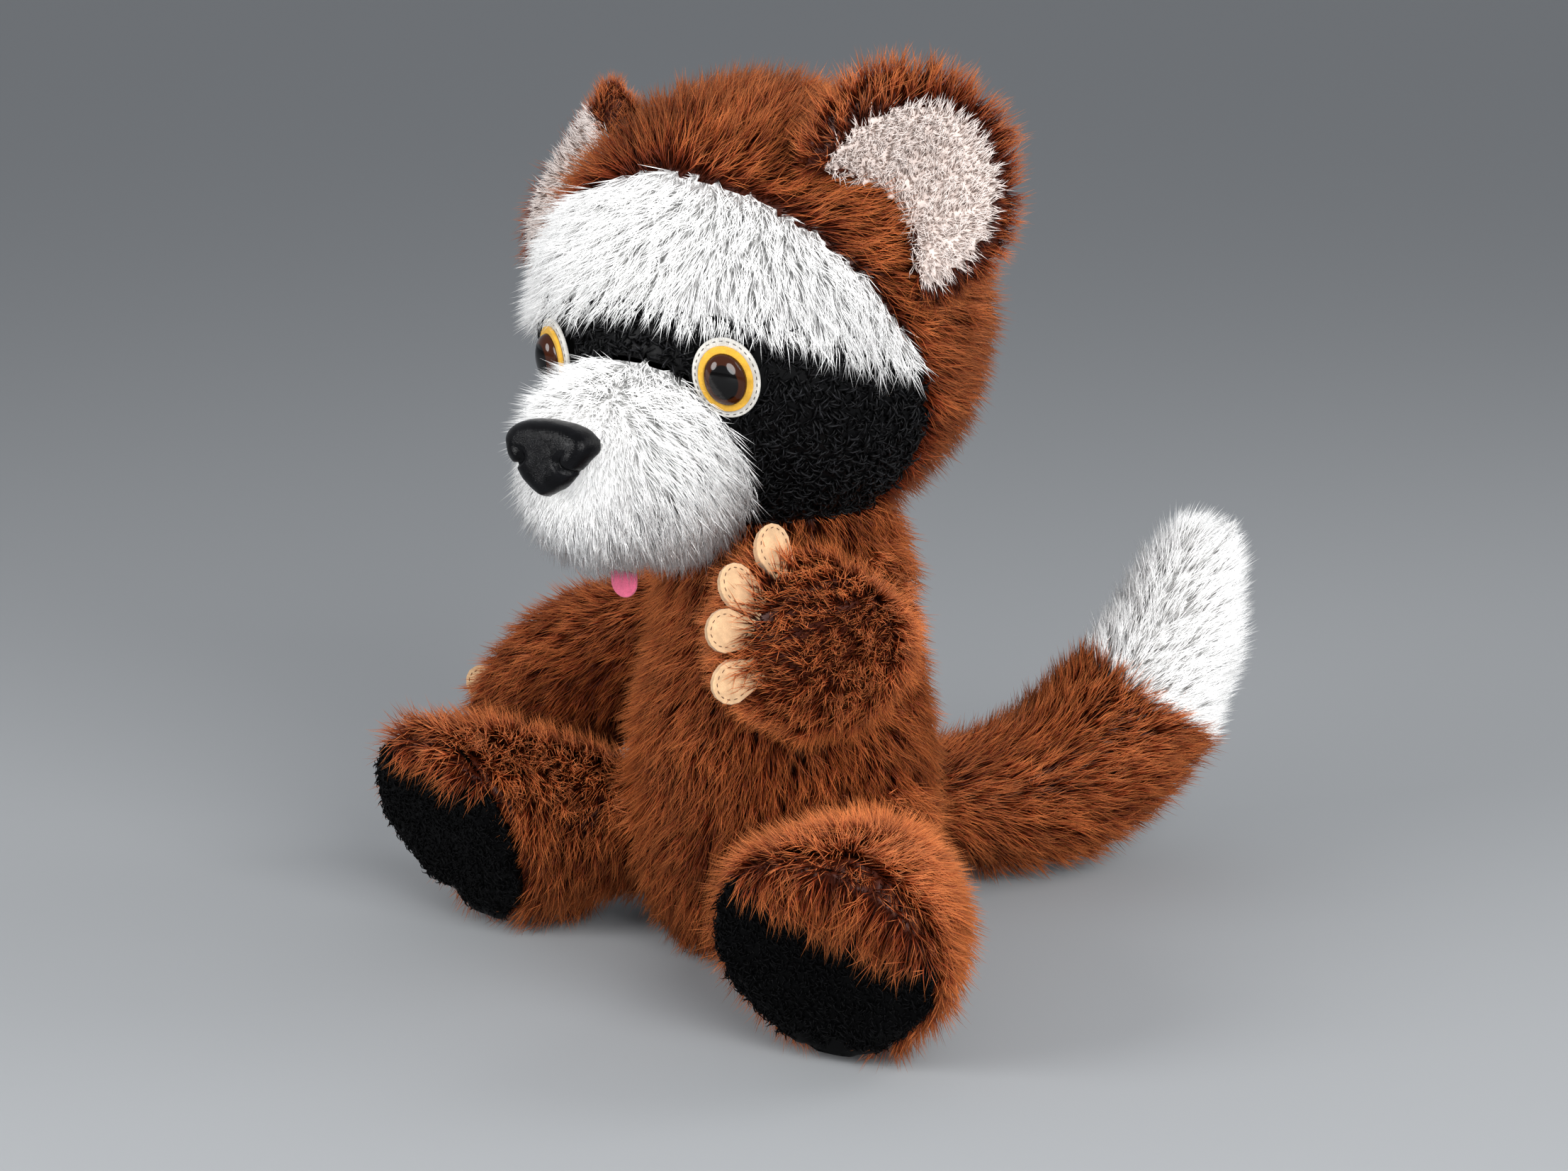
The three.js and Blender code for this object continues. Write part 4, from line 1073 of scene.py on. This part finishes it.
class RACCOON_OT_arms(Operator):
    """Stuffs the arms and combs their pile towards the hands"""

    bl_idname = "raccoon.arms"
    bl_label = "Arms"

    def execute(self, context):
        torso = tree_of(BODY)
        for number, side in enumerate(SIDES):
            nodes = (f"{side}_arm_cover", f"{side}_arm_stuffing")
            piece = stuffed_form(f"{side}_arm_plush", nodes)
            shown = not_against(*surface(piece), torso)
            sink(piece, LONG_SINK, shown)
            near, far = widened(piece.data, shown), widened(piece.data, shown, ARM_ROWS)
            here = growth = HIDDEN_SHARE * far + (1.0 - HIDDEN_SHARE) * near
            points, normals = surface(piece)
            elbow, fingertips = (np.array(p) for p in ARM_PATHS[side])
            upper = unit(elbow - joint_place(f"{side}_shoulder"))
            fore = unit(fingertips - elbow)
            share = np.clip((points - elbow) @ fore / ELBOW_BEND + 0.5, 0.0, 1.0)[:, None]
            comb = unit(across(normals, upper * (1.0 - share) + fore * share + DOWN * ARM_HANG))
            for root, along, _ in claw_roots(side):
                close = np.clip(1.6 - np.linalg.norm(points - root, axis=1) / CLAW_TUFT, 0.0, 1.0)
                comb += (0.5 * across(normals, along) - comb) * close[:, None]
                growth = np.maximum(growth, 1.0 + CLAW_GROWTH * close)
            dress(piece, f"{side}_arm", "brown_plush", nodes, SEEDS["arm"] + number, comb, here, growth,
                  Length=sizes().long_pile * ARM_PILE, **LONG)
        return {"FINISHED"}


def claw_roots(side):
    """Where each claw of a hand leaves the cover, which way it points and which way the hand lies."""
    hand = tree_of((f"{side}_arm_cover",))
    found = []
    for claw in CLAWS:
        points = points_of(frame["nodes"][f"{side}_claw_{claw}"].data)
        gaps = np.array([hand.find_nearest(p)[3] for p in points])
        root = points[gaps < gaps.min() + ROOT_REACH].mean(axis=0)
        inward = -np.array(hand.find_nearest(root)[1])
        found.append((root, unit(points.mean(axis=0) - root), inward))
    return found


def sole_axes(points, hip):
    """Across, up and outward axes of a sole, from its points."""
    middle = points.mean(axis=0)
    out = np.linalg.svd(points - middle, full_matrices=False)[2][2]
    out = out * np.sign(out @ (middle - hip))
    wide = unit(np.cross((0.0, 0.0, 1.0), out))
    return middle, wide, np.cross(out, wide), out


def under_cap(points, side, axes):
    """True where the leg's cover wraps over the sole."""
    middle, wide, high, _ = axes
    slope, level = TOE_CAPS[side]
    return (points - middle) @ high > slope * ((points - middle) @ wide) + level


def add_toe_cap(piece, sole, side, axes):
    """Joins to the leg's skin the part of its cover that wraps over the sole."""
    bm = bmesh_of(sole.data)
    out = Vector(axes[3])
    spare = [
        f for f in bm.faces
        if f.normal.dot(out) < SOLE_BACK or not under_cap(np.array([f.calc_center_median()]), side, axes)[0]
    ]
    bmesh.ops.delete(bm, geom=spare, context="FACES")
    cap = new_piece("toe_cap", bm)
    sink(cap, CAP_SINK, np.ones(len(cap.data.vertices)))
    outer = len(cap.data.vertices)
    back_panel(cap, CAP_BACKING)
    skin = len(piece.data.vertices)
    bm = bmesh_of(piece.data, cap.data)
    bm.to_mesh(piece.data)
    bm.free()
    bpy.data.objects.remove(cap)
    return skin, skin + outer


class RACCOON_OT_legs(Operator):
    """Stuffs the legs, combs their pile to the feet and sets the soles"""

    bl_idname = "raccoon.legs"
    bl_label = "Legs"

    def execute(self, context):
        torso = tree_of(BODY)
        for number, side in enumerate(SIDES):
            nodes = (f"{side}_leg_cover", f"{side}_leg_stuffing")
            hip = joint_place(f"{side}_hip")
            piece = stuffed_form(f"{side}_leg_plush", nodes)
            sole = stuffed_form(f"{side}_sole_plush", (f"{side}_sole",), voxel=SOLE_VOXEL)
            axes = sole_axes(points_of(sole.data), hip)
            toe = axes[3]
            backed = BVHTree.FromObject(sole, bpy.context.evaluated_depsgraph_get())
            shin = BVHTree.FromObject(piece, bpy.context.evaluated_depsgraph_get())
            points, normals = surface(piece)
            clear, free = not_against(points, normals, torso), not_against(points, normals, backed, SOLE_REACH)
            sink(piece, LONG_SINK, clear * free)
            shown = widened(piece.data, clear) * widened(piece.data, free, 2)
            skin, outer = add_toe_cap(piece, sole, side, axes)
            points, normals = surface(piece)
            here, growth = clear_of_floor(points, normals), np.ones(len(points))
            here[:skin] *= shown
            here[outer:] = 0.0
            growth[:skin] = np.where(free < 0.5, BEHIND_SOLE, 1.0)
            comb = unit(across(normals, toe + DOWN))
            dress(piece, f"{side}_leg", "brown_plush", nodes, SEEDS["leg"] + number, comb, here, growth,
                  Length=sizes().long_pile, **LONG)
            shown = not_against(*surface(sole), shin)
            sink(sole, CURL_SINK, shown)
            points, normals = surface(sole)
            here = shown * clear_of_floor(points, normals)
            here[under_cap(points, side, axes)] = 0.0
            comb = unit(across(normals, DOWN))
            dress(sole, f"{side}_leg", "black_plush", (f"{side}_sole",), SEEDS["sole"] + number, comb, here,
                  strands=CURL_STRANDS, kind="sole_plush", fill=0.5, Length=sizes().sole_pile, **VELVET)
        return {"FINISHED"}


class RACCOON_OT_tail(Operator):
    """Stuffs the tail, brown with a white tip, and combs it to its end"""

    bl_idname = "raccoon.tail"
    bl_label = "Tail"

    def execute(self, context):
        root = joint_place("tail_wag")
        seam = box_middle("tail_tip")
        torso = tree_of(BODY)
        end = np.array(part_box("tail_tip")[1])
        names = {"tail_cover": "tail_plush", "tail_tip": "tail_tip_plush"}
        whole = stuffed_form("tail_form", (*names, "tail_stuffing"), rounds=4)
        for seed, (node, piece) in enumerate(cut_panels(whole, names).items(), SEEDS["tail"]):
            shown = not_against(*surface(piece), torso)
            sink(piece, LONG_SINK, shown)
            shown = widened(piece.data, shown)
            points, normals = surface(piece)
            back_panel(piece, PANEL_BACKING)
            if node == "tail_cover":
                slot, taken = "brown_plush", ("tail_cover", "tail_stuffing")
                pile = dict(LONG, Length=sizes().long_pile)
                flow = unit(points - root) + TAIL_GATHER * unit(seam - points)
            else:
                slot, taken = "white_plush", ("tail_tip",)
                pile = dict(SHAGGY, Length=sizes().white_pile * TIP_PILE)
                flow = unit(end - seam) + TIP_FAN * unit(points - root)
            here = shown * clear_of_floor(points, normals)
            dress(piece, "tail", slot, taken, seed, unit(across(normals, flow)), here, **pile)
        return {"FINISHED"}


# Nose, tongue and claws: below which angle faces count as one and how round the tongue's rims are; the nose's grid,
# where below its middle it is blunt and how much shorter there, then its nostrils in halves of its own size, with
# groove, swollen wing and padding; how far the claws' roots dip into the pile and where on a claw its seam runs
FLAT_ANGLE = 0.02
TONGUE_EDGE = 0.0004
NOSE_VOXEL = 0.0011
NOSE_ROUNDS = 14
NOSE_BLUNT = 0.35
NOSE_SHORTER = 0.7
NOSTRIL_PLACE = (0.80, 0.16)
NOSTRIL_SIZE = (0.38, 0.27)
GROOVE_DEPTH = 0.0026
GROOVE_WIDTH = 0.17
WING_SWELL = 0.0012
WING_WIDTH = 0.75
NOSE_PAD = 0.0006
CLAW_DIP = 0.0075
CLAW_SEAM = 0.76


def eye_frame(side):
    """Where an eye's felt sits, and its axes: across, up and out."""
    sign = 1.0 if side == "left" else -1.0
    out = Vector((
        sign * math.sin(EYE_BEARING) * math.cos(EYE_PITCH),
        -math.cos(EYE_BEARING) * math.cos(EYE_PITCH),
        math.sin(EYE_PITCH),
    ))
    low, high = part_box(f"{side}_eye_yellow_felt")
    right = UP.cross(out).normalized()
    turn = Matrix((right, out.cross(right), out)).transposed()
    return (low + high) / 2, turn @ Matrix.Rotation(sign * EYE_ROLL, 3, "Z")


def round_edges(bm, edges, radius, segments=2):
    bmesh.ops.bevel(
        bm, geom=edges, offset=radius, segments=segments, profile=0.5, affect="EDGES", material=-1, clamp_overlap=True
    )


def flat_copy(node):
    """A bmesh of a frame node with its flat faces made whole."""
    bm = copy_of_nodes((node,))
    bmesh.ops.dissolve_limit(bm, angle_limit=FLAT_ANGLE, verts=bm.verts, edges=bm.edges)
    return bm


def oval_plate(width, height, thickness, edge, segments=48):
    """A closed oval plate with rounded rims, flat on z = 0."""
    bm = bmesh.new()
    bmesh.ops.create_cone(
        bm, cap_ends=True, segments=segments, radius1=0.5, radius2=0.5, depth=thickness,
        matrix=Matrix.Translation((0.0, 0.0, thickness / 2)),
    )
    bmesh.ops.scale(bm, vec=(width, height, 1.0), verts=bm.verts)
    rims = [e for e in bm.edges if abs(e.verts[0].co.z - e.verts[1].co.z) < 1e-6]
    round_edges(bm, rims, edge, 3)
    return bm


def add_stitches(bm, path, normal):
    """Sews stitches along a closed path of points on a flat face, in the piece's second material."""
    size = sizes()
    points = [Vector(p) for p in path]
    spans = [(b - a).length for a, b in zip(points, points[1:] + points[:1])]
    total = sum(spans)
    count = max(3, int(total / size.stitch_gap))
    for number in range(count):
        goal = total * number / count
        index = 0
        while goal > spans[index]:
            goal -= spans[index]
            index += 1
        start, stop = points[index], points[(index + 1) % len(points)]
        along = (stop - start).normalized()
        middle = start + along * goal
        sideways = normal.cross(along).normalized()
        turn = Matrix((along, sideways, normal)).transposed().to_4x4()
        turn.translation = middle
        made = bmesh.ops.create_icosphere(bm, subdivisions=1, radius=0.5)
        bmesh.ops.scale(bm, vec=(size.stitch, size.thread, size.thread), verts=made["verts"])
        bmesh.ops.transform(bm, matrix=turn, verts=made["verts"])
        for face in {f for v in made["verts"] for f in v.link_faces}:
            face.material_index = 1


def oval_path(width, height, level, count=64):
    return [
        (0.5 * width * math.cos(a), 0.5 * height * math.sin(a), level)
        for a in (2.0 * math.pi * i / count for i in range(count))
    ]


def finish_trim(piece, body, nodes, materials):
    for material in materials:
        piece.data.materials.append(material)
    for face in piece.data.polygons:
        face.use_smooth = True
    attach(piece, body)
    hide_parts(*nodes)


class RACCOON_OT_eyes(Operator):
    """Lays the felts of the eyes and sets the plastic eyes on them"""

    bl_idname = "raccoon.eyes"
    bl_label = "Eyes"

    def execute(self, context):
        thread = thread_material("Eye thread", colours().eye_thread)
        looks = {
            "white_felt": (felt_material("White felt", colours().white_felt), thread),
            "yellow_felt": (felt_material("Yellow felt", colours().yellow_felt),),
        }
        plastic = eye_material()
        for side in SIDES:
            centre, turn = eye_frame(side)
            seat = turn.to_4x4()
            seat.translation = centre
            for name, (slot, oval, lift) in EYE_FELTS.items():
                bm = oval_plate(*oval, FELT_THICKNESS, sizes().felt_edge)
                if thread in looks[slot]:
                    add_stitches(bm, oval_path(*EYE_SEAM, FELT_THICKNESS), UP)
                bmesh.ops.transform(bm, matrix=seat @ Matrix.Translation((0.0, 0.0, lift)), verts=bm.verts)
                piece = new_piece(f"{side}_eye_{name}", bm)
                finish_trim(piece, "head", (f"{side}_eye_{slot}",), looks[slot])

            bm = bmesh.new()
            bmesh.ops.create_uvsphere(bm, u_segments=48, v_segments=32, radius=1.0)
            whole = bm.verts[:] + bm.edges[:] + bm.faces[:]
            cut = bmesh.ops.bisect_plane(bm, geom=whole, plane_co=(0, 0, 0), plane_no=(0, 0, -1), clear_outer=True)
            rim = [g for g in cut["geom_cut"] if isinstance(g, bmesh.types.BMEdge)]
            bmesh.ops.holes_fill(bm, edges=rim, sides=0)
            iris = [math.hypot(v.co.x, v.co.y) for v in bm.verts]
            bmesh.ops.scale(bm, vec=EYE_DOME, verts=bm.verts)
            bmesh.ops.transform(bm, matrix=seat @ Matrix.Translation((0.0, 0.0, DOME_LIFT)), verts=bm.verts)
            bmesh.ops.recalc_face_normals(bm, faces=bm.faces)
            piece = new_piece(f"{side}_eye_dome", bm)
            field = piece.data.attributes.new("iris", "FLOAT", "POINT")
            field.data.foreach_set("value", np.array(iris, np.float32))
            finish_trim(piece, "head", (f"{side}_eye",), (plastic,))
        return {"FINISHED"}


class RACCOON_OT_nose(Operator):
    """Pads the nose, folds its nostrils and hangs the tongue"""

    bl_idname = "raccoon.nose"
    bl_label = "Nose and tongue"

    def execute(self, context):
        piece = rebuilt_form("nose_pad", ("nose",), NOSE_VOXEL, NOSE_ROUNDS)
        low, high = (np.array(c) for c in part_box("nose"))
        centre, span = (low + high) / 2, (high - low) / 2
        points = points_of(piece.data)
        blunt = centre[2] - NOSE_BLUNT * span[2]
        points[:, 2] = np.where(points[:, 2] < blunt, blunt + (points[:, 2] - blunt) * NOSE_SHORTER, points[:, 2])
        move_points(piece.data, points)
        normals = normals_of(piece.data)
        local = (points - centre) / span
        aside = np.abs(local[:, 0])
        front = np.clip(-local[:, 1] + 0.4, 0.0, 1.0)
        (across_by, up_by), (wide, tall) = NOSTRIL_PLACE, NOSTRIL_SIZE
        wing = np.hypot((aside - across_by) / wide, (local[:, 2] - up_by) / tall)
        groove = GROOVE_DEPTH * np.exp(-(((wing - 1.0) / GROOVE_WIDTH) ** 2))
        groove = groove * np.clip(1.6 - 4.0 * local[:, 2], 0.0, 1.0)
        swell = WING_SWELL * np.exp(-((wing / WING_WIDTH) ** 2))
        depth = front * (groove - swell) - NOSE_PAD
        move_points(piece.data, points - normals * depth[:, None])
        finish_trim(piece, "head", ("nose",), (leatherette_material(),))

        bm = flat_copy("tongue")
        round_edges(bm, bm.edges[:], TONGUE_EDGE)
        tongue = new_piece("tongue_felt", bm)
        rose = felt_material("Rose felt", colours().rose_felt)
        finish_trim(tongue, "head", ("tongue",), (rose,))
        return {"FINISHED"}


def claw_felt(node):
    """A claw of two plies with a groove between them, rounded rims and a row of stitches on each face."""
    size = sizes()
    bm = flat_copy(node)
    faces = sorted(bm.faces, key=lambda f: f.calc_area())[-2:]
    rows = [(f.normal.copy(), [v.co.copy() for v in f.verts], f.calc_center_median()) for f in faces]
    middle = (rows[0][2] + rows[1][2]) / 2
    rims = list({e for f in faces for e in f.edges})
    round_edges(bm, rims, size.felt_edge)
    whole = bm.verts[:] + bm.edges[:] + bm.faces[:]
    cut = bmesh.ops.bisect_plane(bm, geom=whole, plane_co=middle, plane_no=rows[0][0])
    for item in cut["geom_cut"]:
        if isinstance(item, bmesh.types.BMVert):
            item.co += (middle - item.co).normalized() * size.felt_edge
    for normal, outline, centre in rows:
        path = [centre + (point - centre) * CLAW_SEAM + normal * size.thread * 0.2 for point in outline]
        add_stitches(bm, path, normal)
    return bm


class RACCOON_OT_claws(Operator):
    """Cuts the felt claws and sews round their edges"""

    bl_idname = "raccoon.claws"
    bl_label = "Claws"

    def execute(self, context):
        tan = felt_material("Tan felt", colours().tan_felt)
        thread = thread_material("Claw thread", colours().claw_thread)
        for side in SIDES:
            for claw, (root, along, inward) in zip(CLAWS, claw_roots(side)):
                node = f"{side}_claw_{claw}"
                piece = new_piece(f"{side}_claw_felt_{claw}", claw_felt(node))
                points = points_of(piece.data)
                reach = (points - root) @ along
                share = np.clip(1.0 - reach / reach.max(), 0.0, 1.2)
                move_points(piece.data, points + CLAW_DIP * share[:, None] * inward)
                finish_trim(piece, f"{side}_arm", (node,), (tan, thread))
        return {"FINISHED"}


class RACCOON_OT_inside(Operator):
    """Finishes the washers and the neck thread, which stay out of sight"""

    bl_idname = "raccoon.inside"
    bl_label = "Inside pieces"

    def execute(self, context):
        washer = washer_material()
        looks = {f"{side}_eye_washer": washer for side in SIDES}
        looks["neck_thread"] = thread_material("Neck thread", colours().neck_thread)
        for node, material in looks.items():
            frame["nodes"][node].data.materials.clear()
            frame["nodes"][node].data.materials.append(material)
        for name in STRANDS:
            spare = bpy.data.objects.get(name)
            if spare:
                bpy.data.objects.remove(spare)
        return {"FINISHED"}


def aimed(name, data, spot):
    """A lamp or camera that stands at a spot and looks at the raccoon."""
    holder = bpy.data.objects.new(name, data)
    holder.location = spot
    holder.rotation_euler = (Vector(CAMERA_TARGET) - Vector(spot)).to_track_quat("-Z", "Y").to_euler()
    bpy.context.scene.collection.objects.link(holder)
    return holder


class RACCOON_OT_stage(Operator):
    """Sets the floor, the soft light and the camera"""

    bl_idname = "raccoon.stage"
    bl_label = "Stage"

    def execute(self, context):
        scene = context.scene
        bm = bmesh.new()
        bmesh.ops.create_grid(bm, x_segments=1, y_segments=1, size=FLOOR_SIZE)
        floor = new_piece("floor", bm)
        material, tree, shader = new_material("Floor")
        feed(tree, shader, {"Base Color": rgba(colours().floor), "Roughness": 0.9, "Specular IOR Level": 0.1})
        floor.data.materials.append(material)

        world = bpy.data.worlds.new("Studio")
        world.use_nodes = True
        sky = world.node_tree
        feed(sky, sky.nodes["Background"], {"Color": SKY_COLOUR, "Strength": SKY_STRENGTH})
        scene.world = world
        for name, (spot, width, power) in LAMPS.items():
            lamp = bpy.data.lights.new(name, "AREA")
            lamp.shape = "DISK"
            lamp.size = width
            lamp.energy = power
            aimed(name, lamp, spot)

        lens = bpy.data.cameras.new("camera")
        lens.lens = CAMERA_LENS
        lens.sensor_width = CAMERA_SENSOR
        scene.camera = aimed("camera", lens, CAMERA_PLACE)
        scene.view_settings.view_transform = "Standard"
        return {"FINISHED"}


class RACCOON_PT_panel(Panel):
    """Lists the pieces of the raccoon"""

    bl_idname = "RACCOON_PT_panel"
    bl_label = "Raccoon"
    bl_space_type = "VIEW_3D"
    bl_region_type = "UI"
    bl_category = "Raccoon"

    def draw(self, context):
        for operator in OPERATORS:
            self.layout.operator(operator.bl_idname)
        for settings in (context.scene.raccoon.sizes, context.scene.raccoon.colours):
            for name in settings.__annotations__:
                self.layout.prop(settings, name)


OPERATORS = (
    RACCOON_OT_stage,
    RACCOON_OT_body,
    RACCOON_OT_head,
    RACCOON_OT_ears,
    RACCOON_OT_arms,
    RACCOON_OT_legs,
    RACCOON_OT_tail,
    RACCOON_OT_eyes,
    RACCOON_OT_nose,
    RACCOON_OT_claws,
    RACCOON_OT_inside,
)
CLASSES = (RaccoonSizes, RaccoonColours, RaccoonSettings, *OPERATORS, RACCOON_PT_panel)


def register():
    for one in CLASSES:
        bpy.utils.register_class(one)
    bpy.types.Scene.raccoon = PointerProperty(type=RaccoonSettings)


def unregister():
    del bpy.types.Scene.raccoon
    for one in reversed(CLASSES):
        bpy.utils.unregister_class(one)


def main():
    register()
    for operator in OPERATORS:
        group, name = operator.bl_idname.split(".")
        getattr(getattr(bpy.ops, group), name)()


if __name__ == "__main__":
    main()
